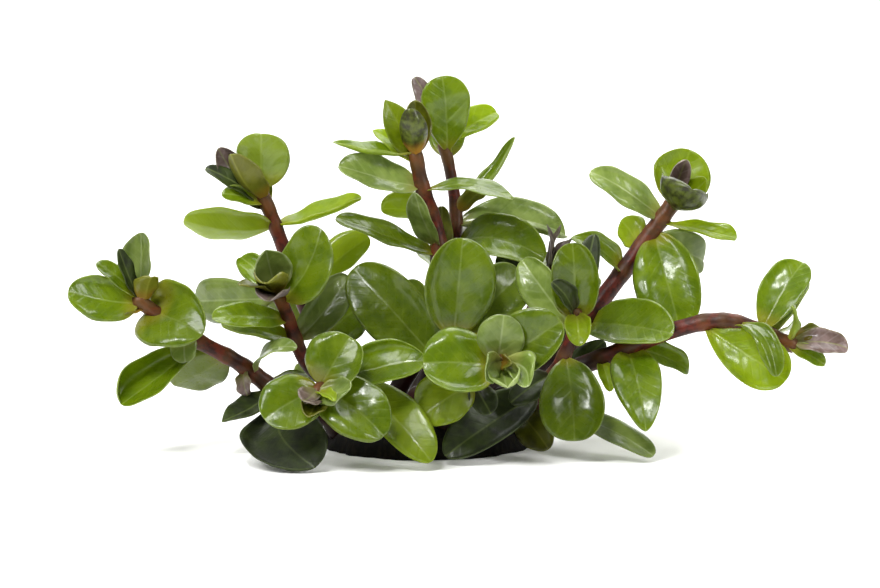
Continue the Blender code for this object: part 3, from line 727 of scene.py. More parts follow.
@dataclass(frozen=True)
class Shoot:
    """A stem with its leaves.

    Args:
        name: the shoot's name.
        turn: where it leaves the crown, in degrees round from +X.
        lift: how far up the crown's side it leaves, in degrees.
        path: the places that it goes through after that.
        thick: its thickness against the common one.
        shade: how far up its skin is dark, in shares of its length.
        leaves: the leaves that it bears.
        whorls: the whorls of leaves that it bears.
    """

    name: str
    turn: float
    lift: float
    path: tuple[tuple[float, float, float], ...]
    thick: float = 1.0
    shade: float = 0.35
    leaves: tuple[Leaf, ...] = ()
    whorls: tuple[Whorl, ...] = ()

    @cached_property
    def curve(self) -> list[Vector]:
        """Draw the stem's middle, out of the crown and up to its tip.

        Returns:
            Close places along it.
        """
        foot, normal = crown_place(self.turn, self.lift, STEM_FOOT_OUT)
        start = foot + normal * STEM_LEAVES_CROWN
        return smooth_path([foot, start, *(Vector(p) for p in self.path)])

    @cached_property
    def length(self) -> float:
        """The stem's length."""
        return sum((b - a).length for a, b in zip(self.curve, self.curve[1:]))

    def at(self, share: float) -> tuple[Vector, Vector]:
        """Find a place on the stem's middle.

        Args:
            share: the share of its length.

        Returns:
            The place and the way that the stem runs there.
        """
        left = share * self.length
        for a, b in zip(self.curve, self.curve[1:]):
            step = (b - a).length
            if left <= step:
                return a.lerp(b, left / step), (b - a).normalized()
            left -= step
        return self.curve[-1].copy(), (self.curve[-1] - self.curve[-2]).normalized()

    def radius(self, share: float) -> float:
        """Find the stem's radius without its joints.

        Args:
            share: the share of its length.

        Returns:
            The radius there.
        """
        return self.thick * (STEM_FOOT_RADIUS + (STEM_TIP_RADIUS - STEM_FOOT_RADIUS) * share)

    def joint(self, share: float) -> float:
        """Find how near a leaf joint is.

        Args:
            share: the share of the stem's length.

        Returns:
            1 at a joint and 0 away from all.
        """
        joints = [leaf.along for leaf in self.leaves] + [whorl.along for whorl in self.whorls]
        nearest = min(abs(share - j) for j in joints) * self.length
        return exp(-((nearest / NODE_REACH) ** 2))

    def build_stem(self) -> bpy.types.Object:
        """Make the stem as rings that are bridged, swollen at its joints and round at its tip.

        Returns:
            The piece, which stands for the stem's CAD node.
        """
        bm = bmesh.new()
        measures = {m: bm.verts.layers.float.new(m) for m in STEM_MEASURES}
        way = self.at(0)[1]
        turn = Vector((0, 0, 1)).rotation_difference(way)
        spans = round(self.length / STEM_RING_SPACING)
        rings = []
        for i in range(-1, spans + 1):
            share = max(0, i) / spans
            place, ahead = self.at(share)
            if i < 0:
                place = place - ahead * STEM_ROOTED
            turn = way.rotation_difference(ahead) @ turn
            way = ahead
            joint = self.joint(share)
            from_tip = (1 - share) * self.length
            dome = sqrt(max(STEM_TIP_FLAT, 1 - max(0.0, 1 - from_tip / STEM_TIP_DOME) ** 2))
            radius = self.radius(share) * (1 + NODE_SWELL * joint) * dome * MM
            spin = Matrix.Translation(place * MM) @ turn.to_matrix().to_4x4()
            ring = bmesh.ops.create_circle(bm, segments=STEM_SIDES, radius=radius, matrix=spin)["verts"]
            for number, vertex in enumerate(ring):
                ridge = RIDGE_DEPTH * cos(2 * pi * RIDGES * number / STEM_SIDES) * (1 - joint)
                vertex.co += (vertex.co - place * MM) * ridge
                vertex[measures["share"]] = share
                vertex[measures["joint"]] = joint
                vertex[measures["shade"]] = max(0.0, min(1.0, (self.shade - share) / SHADE_FADE + 0.5))
            rings.append(ring)
        for low, high in zip(rings, rings[1:]):
            edges = {e for v in low + high for e in v.link_edges if len(e.link_faces) < 2}
            loops = [e for e in edges if all(v in low for v in e.verts) or all(v in high for v in e.verts)]
            bmesh.ops.bridge_loops(bm, edges=loops)
        bmesh.ops.contextual_create(bm, geom=rings[0])
        bmesh.ops.contextual_create(bm, geom=rings[-1])
        bmesh.ops.recalc_face_normals(bm, faces=bm.faces)
        piece = new_piece(f"{self.name}_stem_skin", bm, STEM_SKIN.material)
        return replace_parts(piece, f"stem_{self.name}")

    def leaf_foot(self, leaf: Leaf) -> Vector:
        """Find where a leaf starts, inside the stem's skin on the side that it grows to.

        Args:
            leaf: the leaf's settings.

        Returns:
            The place.
        """
        place, ahead = self.at(leaf.along)
        out = Vector(leaf.tip) - place
        across = out - ahead * out.dot(ahead)
        return place + across.normalized() * (self.radius(leaf.along) * LEAF_ROOTED)

    def whorl_leaves(self, whorl: Whorl, number: int) -> list[Leaf]:
        """Set out the leaves of a whorl, each with its upper side to the stem's tip.

        Args:
            whorl: the whorl's settings.
            number: which whorl of the stem it is.

        Returns:
            The leaves.
        """
        place, ahead = self.at(whorl.along)
        back = Vector((0, 1, 0))
        back = (back - ahead * back.dot(ahead)).normalized()
        spread = radians(whorl.spread)
        leaves = []
        for turn in whorl.turns:
            out = Matrix.Rotation(radians(turn), 3, ahead) @ back
            tip = place + (ahead * cos(spread) + out * sin(spread)) * whorl.length
            face = ahead * sin(spread) - out * cos(spread)
            name = f"whorl_{number}_{turn}"
            leaves.append(Leaf(name, whorl.along, tuple(tip), tuple(face), whorl.width))
        return leaves

    def build(self) -> None:
        """Make the stem and all its leaves."""
        self.build_stem()
        leaves = list(self.leaves)
        for number, whorl in enumerate(self.whorls, 1):
            leaves += self.whorl_leaves(whorl, number)
        for leaf in leaves:
            if leaf.own:
                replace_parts(blade_piece(f"{leaf.name}_blade", leaf, self.leaf_foot(leaf)), leaf.name)
            else:
                word = leaf.name.replace(" ", "_")
                blade_piece(f"{self.name}_small_leaf_{word}", leaf, self.leaf_foot(leaf))


SHOOTS = (
    Shoot(
        "far_left", 195, 28, ((-30, -3, 9.5), (-40, -5, 17.5), (-49, -7, 23), (-61, -8, 31.5)), 1.0,
        leaves=(
            Leaf("leaf_far_left_end", 0.97, (-73.5, -13, 33.5), (-0.15, -0.8, 0.55), 9.6, Outline.ROUND,
                 rise=-0.08),
            Leaf("leaf_far_left_heart", 0.88, (-47.2, -17, 25.9), (0.0, -0.8, 0.6), 15, Outline.HEART,
                 tone=-0.2, sweep=0.01),
            Leaf("leaf_far_left_drooping", 0.68, (-63.3, -13, 10.8), (-0.5, -0.5, 0.7), 12, Outline.SPOON,
                 rise=-0.03, roll=(0, 65)),
            Leaf("leaf_far_left_arched", 0.41, (-28.5, -13, 22.2), (-0.7, -0.15, 0.7), 5.4, rise=0.2,
                 look=GREY),
            Leaf("leaf_far_left_low", 0.32, (-43.2, -15, 8.2), (-0.2, -0.6, 0.8), 7.6, Outline.LANCE,
                 rise=-0.03, look=SHADED, tone=0.5, sweep=-0.08),
            Leaf("behind", 0.55, (-53.5, 3, 12.1), (-0.1, 0.8, 0.5), 11.4, rise=-0.06, tone=-0.6),
            Leaf("upright", 0.98, (-59.7, -4, 43.9), (-0.75, -0.55, 0.2), 9, rise=-0.05, look=GREY,
                 tone=-0.5),
            Leaf("upright inner", 0.98, (-63.5, -10, 41.5), (0.6, -0.6, 0.3), 4.5, rise=-0.05, look=SHADED,
                 tone=0.4),
            Leaf("young", 0.98, (-68, -8, 38.5), (0.3, -0.8, 0.5), 4.5, tone=-0.1),
            Leaf("pale underside", 0.95, (-57.3, -12, 36.4), (-0.3, 0.6, 0.6), 5.6, look=OLIVE, tone=0.6),
            Leaf("sliver", 0.93, (-65, -9, 27.5), (0.0, -0.2, 1.0), 4, look=OLIVE, tone=0.4),
            Leaf("pale lobe", 0.74, (-50.6, -11, 18.8), (-0.3, -0.7, 0.7), 5.8, Outline.ROUND, look=GREY,
                 tone=0.1),
            Leaf("hanging", 0.46, (-38.4, -8, 11.6), (-0.6, -0.7, 0.1), 4, look=YOUNG),
            Leaf("back", 0.88, (-53, 5, 28), (-0.1, 0.1, 1.0), 10, rise=0.05),
            Leaf("low back", 0.35, (-27, 14, 8), (-0.3, 0.2, 0.9), 9),
            Leaf("leaf_low_dark", 0.22, (-25.2, -29, 2.2), (-0.5, -0.35, 0.8), 16.8, Outline.SPOON,
                 rise=0.1, look=SHADED, tone=-0.3, sweep=0.13),
        ),
    ),
    Shoot(
        "upper_left", 140, 42, ((-26, 9, 24), (-32.3, 12, 40), (-34.5, 12, 46), (-36.4, 12, 50)), 1.0,
        leaves=(
            Leaf("leaf_upper_left_round", 1.0, (-35.9, 11, 61.5), (0.15, 0.85, 0.35), 11.6, Outline.ROUND,
                 rise=-0.02, peak=0.58, cup=16, tone=0.1, roll=(0, 0), hook=0.0),
            Leaf("leaf_upper_left_long", 0.84, (-51.6, 9, 44.7), (-0.1, 0.7, 0.7), 13.8, rise=-0.1,
                 look=BRIGHT, tone=-0.15),
            Leaf("leaf_upper_left_inner", 0.84, (-16.0, 13, 48.8), (-0.35, -0.3, 0.85), 8.8, rise=-0.06,
                 look=BRIGHT, tone=-0.1),
            Leaf("bud outer", 0.96, (-41.6, 7, 58.4), (0.45, 0.8, 0.4), 8.8, Outline.ROUND, rise=-0.14,
                 cup=30, look=OLIVE, tone=0.5),
            Leaf("bud dark", 0.92, (-44.6, 12, 58.4), (0.3, -0.9, 0.4), 7, Outline.ROUND, rise=-0.14,
                 look=YOUNG, tone=-0.3),
            Leaf("bud low", 0.95, (-43.8, 9, 49.6), (0.0, -0.8, 0.6), 4.6, Outline.ROUND, tone=0.2),
            Leaf("bud side", 0.94, (-47, 11, 54.6), (0.2, -0.7, 0.7), 5, look=SHADED, tone=0.8),
            Leaf("back", 0.93, (-39.5, 24, 58), (0.0, -0.6, 0.6), 6, Outline.ROUND),
            Leaf("middle back", 0.35, (-15.6, 6, 27.6), (-0.2, -0.9, 0.3), 10),
            Leaf("far", 0.58, (-14.6, 14, 40.2), (-0.1, 0.85, 0.4), 8, Outline.SPOON, rise=-0.02,
                 look=BRIGHT, tone=-0.3),
        ),
    ),
    Shoot(
        "left", 175, 48, ((-25, -1, 15), (-28, -2, 19.5), (-31, -6, 29), (-33, -9, 33)), 0.9,
        leaves=(
            Leaf("leaf_left_big", 0.90, (-23.6, -9, 45.4), (-0.3, -0.85, 0.4), 12.2, Outline.ROUND,
                 tone=-0.25, sweep=0.12),
            Leaf("leaf_left_low", 0.76, (-44.8, -15, 28.8), (-0.15, -0.8, 0.6), 6.6, rise=0.04, tone=0.3),
            Leaf("leaf_left_beneath", 0.62, (-43.2, -8, 26.4), (-0.1, -0.6, 0.8), 7, rise=0.0),
            Leaf("leaf_left_inner", 0.60, (-18.4, 0, 34.4), (-0.2, -0.85, 0.5), 8.6, rise=0.04, look=GREY,
                 tone=-0.6, sweep=0.06),
            Leaf("round", 0.98, (-34.4, -12, 41.6), (0.1, -0.9, 0.3), 9.2, Outline.ROUND, rise=-0.1,
                 cup=24, look=GREY, tone=-0.55),
            Leaf("rolled", 0.99, (-34.5, -16, 36.0), (0.0, 0.0, 1.0), 8.4, look=OLIVE, tone=0.5),
            Leaf("layer", 0.95, (-34, -16, 32.4), (0.0, -0.1, 1.0), 8, look=YOUNG, tone=-0.6),
            Leaf("pale", 0.90, (-40, 2, 38), (0.3, -0.8, 0.5), 6, tone=0.4),
            Leaf("flat", 0.97, (-39.6, -14, 35.0), (0.05, -0.18, 1.0), 5.5, look=OLIVE, tone=0.2),
            Leaf("behind", 0.92, (-49.8, 7, 28.0), (-0.3, -0.95, 0.1), 9.4, Outline.SPOON, rise=0.03,
                 look=GREY, tone=-0.1),
            Leaf("back", 0.88, (-29, 6, 36), (0.0, -0.3, 0.9), 8),
        ),
    ),
    Shoot(
        "top_front", 120, 62, ((-2, 5, 22), (-0.1, 8, 38.5), (-3.6, 10, 51), (-5.1, 10, 58.5)), 1.05,
        leaves=(
            Leaf("leaf_top_front_left", 0.86, (-20, 5, 56.3), (0.15, -0.62, 0.78), 9.8, rise=-0.05,
                 look=GREY, tone=0.1),
            Leaf("leaf_top_front_arched", 0.84, (14.5, 4, 49.6), (0.0, -0.3, 0.95), 7.4, rise=0.1),
            Leaf("leaf_top_front_upright", 0.63, (-4.9, 1, 51), (-0.5, -0.8, 0.1), 6, look=GREY,
                 tone=-0.3),
            Leaf("leaf_top_front_long", 0.60, (-20.5, 5, 46), (0.3, -0.35, 0.9), 7.2, rise=-0.02,
                 tone=-0.55),
            Leaf("narrow", 0.99, (-21.5, 8, 60.6), (0.1, -0.4, 0.9), 5.5, Outline.LANCE, rise=-0.07,
                 tone=0.4),
            Leaf("bud front", 0.98, (-6.1, 6, 67.5), (0.0, 0.9, 0.3), 8, Outline.ROUND, rise=-0.18, cup=35,
                 look=MOTTLED),
            Leaf("bud back", 0.98, (-5.0, 13, 68.0), (0.0, -0.9, 0.3), 8, Outline.ROUND, rise=-0.18,
                 cup=35, look=OLIVE, tone=0.2),
            Leaf("ragged", 0.96, (-11, 11, 68.4), (0.2, -0.9, 0.3), 7, Outline.LANCE, look=BRIGHT,
                 tone=-0.7),
            Leaf("bright", 0.95, (-13.5, 13, 62), (0.2, -0.6, 0.7), 5, Outline.LANCE, look=BRIGHT),
            Leaf("small", 0.76, (-11.8, 12, 46.2), (0.1, 0.85, 0.4), 8, Outline.ROUND, look=BRIGHT,
                 tone=-0.1),
            Leaf("back", 0.5, (0.4, 12.5, 46.5), (0.4, -0.9, 0.2), 5, rise=0.03, look=OLIVE),
        ),
    ),
    Shoot(
        "top_back", 75, 50, ((2, 14, 26), (3.3, 20, 42), (1.9, 22, 53), (0.3, 22, 58.5)), 0.85,
        leaves=(
            Leaf("leaf_top_back_big", 0.95, (0.6, 17, 71.9), (0.2, -0.95, 0.1), 10.2, Outline.SPOON,
                 peak=0.6, tone=0.15, bumps=0.3),
            Leaf("leaf_top_back_right", 0.99, (11.5, 26, 63.8), (-0.25, -0.8, 0.5), 6.8, Outline.SPOON,
                 rise=0.03, look=BRIGHT),
            Leaf("leaf_top_back_broad", 0.60, (21, 9, 36.5), (0.2, -0.8, 0.6), 11, rise=0.22, tone=-0.15),
            Leaf("leaf_top_back_far", 0.68, (25.6, 24, 38.6), (0.1, -0.6, 0.8), 10.5, rise=0.13,
                 look=GREY),
            Leaf("bud", 0.97, (-4.9, 26, 71), (0.5, -0.8, 0.1), 5, look=YOUNG, tone=-0.2),
            Leaf("pointed", 0.74, (14.9, 27, 58.7), (-0.7, -0.5, 0.4), 4.5, Outline.EGG, rise=-0.1,
                 tone=0.2),
            Leaf("reddish", 0.72, (9.8, 16, 50), (-0.3, 0.7, 0.6), 4.6, look=OLIVE, tone=0.4),
            Leaf("back", 0.93, (1, 34, 63), (0.0, -0.5, 0.8), 8, Outline.ROUND),
            Leaf("middle back", 0.46, (4.2, 27, 41.0), (0.0, -0.8, 0.4), 6.2, Outline.ROUND, look=OLIVE,
                 tone=-0.4),
        ),
    ),
    Shoot(
        "upper_centre", 50, 48, ((13, 9, 17), (19, 13, 26), (22.5, 16, 34)), 0.8,
        leaves=(
            Leaf("bud left", 0.97, (22, 14, 42.5), (0.7, -0.3, 0.5), 3, Outline.LANCE, look=YOUNG,
                 tone=-0.9),
            Leaf("bud middle", 0.97, (24.5, 17, 42), (-0.7, -0.3, 0.5), 3, Outline.LANCE, look=YOUNG,
                 tone=-0.9),
            Leaf("bud right", 0.95, (26.5, 15, 39.5), (-0.5, -0.5, 0.7), 3, Outline.LANCE, look=YOUNG,
                 tone=-0.9),
            Leaf("dark front", 0.86, (11.5, 10, 36.5), (0.0, -0.8, 0.5), 9.6, look=SHADED, tone=0.3),
            Leaf("back", 0.88, (23, 29, 34), (0.0, -0.3, 0.9), 9),
        ),
    ),
    Shoot(
        "centre", 250, 74, ((-2, -6, 13), (1, -7, 19), (4, -7, 25)), 0.9,
        leaves=(
            Leaf("leaf_centre_upright", 0.92, (4.5, -9, 43.2), (0.0, -0.98, 0.2), 15, rise=0.03,
                 tone=-0.15),
            Leaf("leaf_centre_left", 0.60, (-17.3, -1, 36.3), (-0.1, -0.9, 0.4), 13.6, rise=0.03,
                 tone=-0.5),
            Leaf("right", 0.97, (16.4, 1, 35.0), (0.3, -0.8, 0.4), 12.4, tone=-0.4),
            Leaf("left behind", 0.50, (-7.6, 7, 32.0), (0.0, -0.9, 0.4), 10, tone=-0.6),
        ),
    ),
    Shoot(
        "front", 285, 48, ((4, -13, 12), (8.5, -19, 18), (12.5, -26, 22.5)), 0.85,
        leaves=(
            Leaf("leaf_centre_low", 0.50, (-3.8, -20, 9.7), (0.0, -0.8, 0.6), 12, look=BRIGHT, tone=-0.5),
            Leaf("leaf_front_left_side", 0.83, (-3.1, -27, 21.9), (-0.1, -0.9, 0.4), 15, Outline.ROUND,
                 tone=0.3),
            Leaf("leaf_front_right_side", 0.84, (23.6, -27, 30.0), (0.2, -0.9, 0.35), 13, Outline.ROUND,
                 tone=-0.25),
            Leaf("leaf_front_top", 0.91, (12.5, -26, 31), (0.0, -0.85, -0.2), 9.5, Outline.ROUND,
                 look=GREY, tone=-0.1),
            Leaf("cup right", 0.99, (17, -33, 18.4), (-0.6, -0.5, 0.5), 7.4, Outline.ROUND, rise=-0.12,
                 cup=34, look=GREY, tone=0.5, sweep=-0.2),
            Leaf("cup bottom", 0.99, (13.2, -34.4, 18.4), (0.0, -0.3, 0.95), 8.5, Outline.ROUND, rise=-0.2,
                 cup=30, look=GREY, tone=0.4),
            Leaf("cup left", 0.99, (9.4, -32, 19.2), (0.8, -0.4, 0.3), 6.2, Outline.ROUND, rise=-0.1,
                 cup=30, look=GREY, tone=-0.1, sweep=0.2),
            Leaf("cup core", 1.0, (13.6, -31.5, 22.6), (-0.8, -0.5, 0.3), 4.2, Outline.LANCE, rise=-0.1,
                 cup=40, look=OLIVE, tone=0.3),
            Leaf("dark left", 0.50, (10, -21, 10.5), (-0.2, -0.8, 0.6), 6, look=SHADED),
        ),
    ),
    Shoot(
        "front_left", 215, 50, ((-15, -10, 13), (-18, -14, 17.5), (-22, -20, 17), (-24.5, -26, 15.5)), 0.85,
        leaves=(
            Leaf("leaf_front_left_top", 0.90, (-17.6, -22, 26), (-0.1, -0.9, 0.4), 13, Outline.ROUND,
                 tone=-0.15),
            Leaf("leaf_front_left_right", 0.90, (-11, -31, 8.5), (0.3, -0.8, 0.5), 12.8, Outline.ROUND,
                 tone=-0.25),
            Leaf("leaf_front_left_left", 0.90, (-34.4, -29, 11), (-0.25, -0.9, 0.3), 12, Outline.ROUND,
                 tone=-0.05),
            Leaf("leaf_front_left_curled", 0.66, (-4, -23, 22.8), (0.15, -0.75, 0.6), 11, rise=-0.08,
                 tone=0.3, hook=0.2),
            Leaf("band", 0.99, (-17.5, -32, 17.6), (-0.45, -0.3, 0.85), 7, Outline.ROUND, rise=-0.1,
                 look=GREY, tone=-0.1),
            Leaf("bud", 0.99, (-26.5, -33, 15.5), (0.5, -0.1, 0.8), 5.5, Outline.ROUND, rise=-0.1,
                 look=YOUNG, tone=0.1),
            Leaf("bud core", 1.0, (-26.2, -31, 14.6), (0.3, -0.2, 0.9), 4.4, Outline.LANCE, rise=-0.1,
                 cup=30, look=YOUNG, tone=-0.3),
            Leaf("bud yellow", 0.99, (-20.6, -32.5, 15.4), (0.0, -0.2, 1.0), 3.2, look=BRIGHT),
            Leaf("bud low", 0.99, (-25.6, -34, 12.8), (0.0, -0.6, 0.8), 6.4, rise=-0.15, cup=30,
                 look=OLIVE, tone=0.2),
            Leaf("leaf_low_bright", 0.36, (-2, -28, 3.1), (-0.1, -0.8, 0.6), 10.6, rise=0.04, look=BRIGHT,
                 tone=-0.4),
        ),
    ),
    Shoot(
        "right", 325, 40, ((17, -7.5, 9.5), (23.5, -8.5, 17.5), (26.5, -10, 25), (27, -13, 30)), 0.9,
        leaves=(
            Leaf("leaf_low_olive", 0.36, (1.5, -22, 2.7), (0.05, -0.9, 0.4), 11, rise=0.04, look=SHADED),
            Leaf("leaf_right_big", 0.92, (26.2, -12, 43.0), (0.1, -0.95, 0.2), 10.6, Outline.ROUND,
                 tone=-0.3),
            Leaf("leaf_right_left", 0.84, (16.2, -6, 38.6), (-0.3, -0.85, 0.4), 9, look=GREY, tone=0.3),
            Leaf("leaf_right_front", 0.66, (26.6, -21, 5.2), (0.1, -0.85, 0.5), 13.5, Outline.SPOON,
                 rise=0.1, tone=-0.45),
            Leaf("folded", 0.98, (22.2, -19, 36.4), (0.4, -0.8, 0.5), 5.4, look=SHADED, tone=0.3),
            Leaf("bottom", 0.97, (27.4, -20, 24.2), (0.1, -0.7, 0.7), 6, look=BRIGHT, tone=-0.25),
            Leaf("behind", 0.66, (31, 4, 42.3), (0.1, -0.9, 0.3), 6, look=SHADED, tone=0.2),
            Leaf("dark", 0.52, (14.2, -17, 12.2), (0.1, -0.8, 0.6), 6, look=SHADED),
            Leaf("olive", 0.22, (21.4, -16, 2.6), (0.1, -0.9, 0.4), 7.5, look=OLIVE, tone=-0.2),
        ),
    ),
    Shoot(
        "upper_right", 30, 40, ((20, 4, 12), (32.4, 6, 28.3), (41, 10, 39.3), (47.5, 12, 48)), 1.18,
        leaves=(
            Leaf("leaf_upper_right_left", 0.92, (30.7, 10, 54.3), (0.35, -0.7, 0.6), 7, Outline.ROUND,
                 rise=0.02, look=GREY, tone=0.35),
            Leaf("leaf_upper_right_right", 0.91, (59.6, 8, 40.6), (0.2, -0.5, 0.85), 5.6, Outline.SPOON,
                 rise=0.01, peak=0.7, look=BRIGHT, tone=-0.1),
            Leaf("leaf_upper_right_hanging", 0.86, (48.2, -1, 23.6), (0.1, -0.9, 0.4), 13.6, tone=0.15,
                 bumps=0.4, sweep=0.02),
            Leaf("leaf_upper_right_low", 0.48, (46, -12, 24.9), (-0.1, -0.8, 0.6), 12, rise=0.03, tone=0.2,
                 bumps=0.4),
            Leaf("arched", 0.69, (26.6, 4.5, 41.6), (-0.1, -0.5, 0.85), 6.8, Outline.EGG, rise=0.09),
            Leaf("backlit", 0.80, (36.8, 14, 43.4), (0.2, 0.85, 0.3), 7.2, look=BRIGHT),
            Leaf("strip", 0.82, (53.4, 14, 35.0), (0.2, -0.9, 0.3), 9, rise=0.2, look=GREY, tone=-0.2),
            Leaf("cup back", 0.98, (50.6, 17, 57.4), (0.0, -0.9, 0.3), 12.8, Outline.ROUND, rise=-0.15,
                 cup=20, look=BRIGHT, tone=-0.35),
            Leaf("cup front", 0.98, (50.5, 1, 52.2), (0.42, 0.35, 0.84), 15, Outline.ROUND, rise=-0.24,
                 cup=34, look=MOTTLED, tone=-0.4),
            Leaf("cup left", 0.98, (49.4, 9, 56.4), (0.2, -0.9, 0.3), 5, rise=-0.1, look=YOUNG),
            Leaf("cup right", 0.98, (53.5, 8, 52.6), (-0.3, -0.8, 0.5), 5, rise=-0.1, look=BRIGHT,
                 tone=-0.5),
            Leaf("back", 0.80, (47, 27, 37), (0.0, -0.2, 1.0), 9),
            Leaf("low back", 0.48, (40, 20, 22), (0.0, -0.2, 1.0), 9),
        ),
    ),
    Shoot(
        "far_right", 345, 24,
        ((24, -1, 14), (34, -4, 19), (47, -7, 24.8), (58, -8.5, 26.6), (71.2, -10, 21.6)), 1.12,
        leaves=(
            Leaf("leaf_far_right_up", 0.88, (72.3, -4, 37.8), (-0.5, -0.8, 0.2), 9.6, peak=0.58, tone=0.3),
            Leaf("leaf_far_right_front", 0.8, (66.4, -20, 18.2), (0.5, -0.8, 0.3), 5, Outline.SPOON,
                 rise=0.25),
            Leaf("leaf_far_right_down", 0.70, (68.3, -16, 16.2), (0.0, -0.95, 0.3), 11.4, Outline.SPOON,
                 rise=0.0, cup=8, look=BRIGHT, tone=-0.2),
            Leaf("leaf_far_right_drooping", 0.45, (40.7, -21, 7.4), (0.1, -0.85, 0.5), 10, Outline.EGG,
                 rise=0.1, tone=0.05),
            Leaf("low", 0.1, (42.2, -18, 1.5), (0.3, -0.6, 0.7), 8, Outline.SPOON, rise=0.07, look=GREY,
                 tone=-0.35),
            Leaf("young", 0.98, (80.9, -12, 22.2), (0.0, -0.6, 0.75), 6, look=YOUNG, tone=0.7),
            Leaf("young upper", 0.98, (76, -8, 25.0), (-0.3, -0.5, 0.8), 4, look=OLIVE, tone=0.3),
            Leaf("young lower", 0.97, (76.4, -12, 18.6), (-0.3, -0.6, 0.7), 4, tone=0.2),
            Leaf("up behind", 0.91, (73, 0, 33.5), (-0.3, -0.8, 0.3), 6.5, tone=0.2),
            Leaf("edge", 0.96, (70.0, -15, 31), (0.95, 0.0, 0.3), 3.4, tone=0.1),
            Leaf("glossy", 0.47, (50, -3, 15.8), (0.1, -0.6, 0.8), 6.2, tone=0.2),
            Leaf("bright", 0.36, (33.8, -12, 13.4), (0.1, -0.8, 0.5), 3.6, look=BRIGHT, tone=-0.2),
            Leaf("back", 0.76, (60, 10, 21.5), (0.0, -0.2, 1.0), 10),
            Leaf("end back", 0.91, (68, 4, 22), (0.0, -0.2, 1.0), 8),
            Leaf("middle back", 0.12, (33, 2, 20.8), (-0.1, -0.8, 0.5), 6, look=SHADED, tone=0.5),
        ),
    ),
    Shoot(
        "back_left", 128, 26, ((-19, 18, 11), (-26, 27, 19), (-30, 32, 27)), 0.9,
        whorls=(
            Whorl(0.48, (60, 240), 11, 9, 75),
            Whorl(0.74, (0, 180), 14, 11, 70),
            Whorl(0.90, (80, 265), 12, 10, 55),
            Whorl(0.97, (10, 190), 7, 5, 35),
        ),
    ),
    Shoot(
        "back_middle", 96, 30, ((-3, 22, 12), (1, 32, 19), (4, 37, 27)), 0.9,
        whorls=(
            Whorl(0.48, (90, 270), 15, 11, 75),
            Whorl(0.74, (0, 180), 14, 11, 70),
            Whorl(0.90, (90, 270), 12, 10, 55),
            Whorl(0.97, (0, 180), 7, 5, 35),
        ),
    ),
    Shoot(
        "back_right", 52, 26, ((12, 18, 11), (20, 27, 18), (28, 32, 25)), 0.9,
        whorls=(
            Whorl(0.48, (100, 290), 15, 11, 75),
            Whorl(0.74, (0, 180), 14, 11, 70),
            Whorl(0.90, (95, 280), 12, 10, 55),
            Whorl(0.97, (0, 180), 7, 5, 35),
        ),
    ),
)


@dataclass(frozen=True)
class Crown:
    """The low mass of grown-together stem feet, cut off flat at the ground.

    Args:
        sides: how many faces go round it.
        rings: how many rings of faces a full dome and its mirror would have.
        furrows: how deep the furrows between the stem feet are, in shares of its size.
        furrow_size: how wide a furrow is, in shares of its size.
        furrow_climb: how much of a furrow's change comes from height.
        furrow_level: the furrow's value that leaves the dome as it is.
        lumps: how far single feet stand out, in shares of its size.
        lump_count: how many of them there are from the middle to the side.
        rim: how wide the ring of faces inside the cut's edge is, in shares of its size.
        cut_reach: how near the cut a point counts as on it, in shares of its size.
    """

    sides: int = 96
    rings: int = 44
    furrows: float = 0.06
    furrow_size: float = 0.16
    furrow_climb: float = 0.3
    furrow_level: float = 0.3
    lumps: float = 0.05
    lump_count: float = 2.5
    rim: float = 0.04
    cut_reach: float = 0.0001

    def build(self) -> bpy.types.Object:
        """Make the crown, furrowed all round but flat where it is cut.

        Returns:
            The piece, which stands for the crown's CAD node.
        """
        bm = bmesh.new()
        bmesh.ops.create_uvsphere(bm, u_segments=self.sides, v_segments=self.rings, radius=1.0)
        cut = bmesh.ops.bisect_plane(
            bm,
            geom=bm.verts[:] + bm.edges[:] + bm.faces[:],
            dist=self.cut_reach,
            plane_co=(0, 0, 0),
            plane_no=(0, 0, -1),
            clear_outer=True,
        )
        for vertex in bm.verts:
            round_it = Vector((vertex.co.x, vertex.co.y, vertex.co.z * self.furrow_climb))
            furrow = abs(noise.noise(round_it / self.furrow_size)) - self.furrow_level
            lump = noise.noise(vertex.co * self.lump_count)
            vertex.co *= 1 + self.furrows * furrow + self.lumps * lump
        edge = [g for g in cut["geom_cut"] if isinstance(g, bmesh.types.BMEdge)]
        base = bmesh.ops.contextual_create(bm, geom=edge)["faces"]
        bmesh.ops.inset_region(bm, faces=base, thickness=self.rim, use_even_offset=True)
        place = Matrix.Translation(CROWN_MIDDLE * MM) @ Matrix.Diagonal((*(CROWN_HALF * MM), 1.0))
        bmesh.ops.transform(bm, matrix=place, verts=bm.verts)
        bmesh.ops.recalc_face_normals(bm, faces=bm.faces)
        piece = new_piece("crown_of_stem_feet", bm, CROWN_TISSUE.material)
        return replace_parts(piece, "crown")


@dataclass(frozen=True)
class Lamp:
    """A soft box.

    Args:
        name: its name.
        turn: the way round that it stands, in degrees from the front.
        lift: how high it stands, in degrees above the floor.
        away: how far away it stands, in metres.
        size: how wide and high it is, in metres.
        power: its power, in watts.
    """

    name: str
    turn: float
    lift: float
    away: float
    size: tuple[float, float]
    power: float


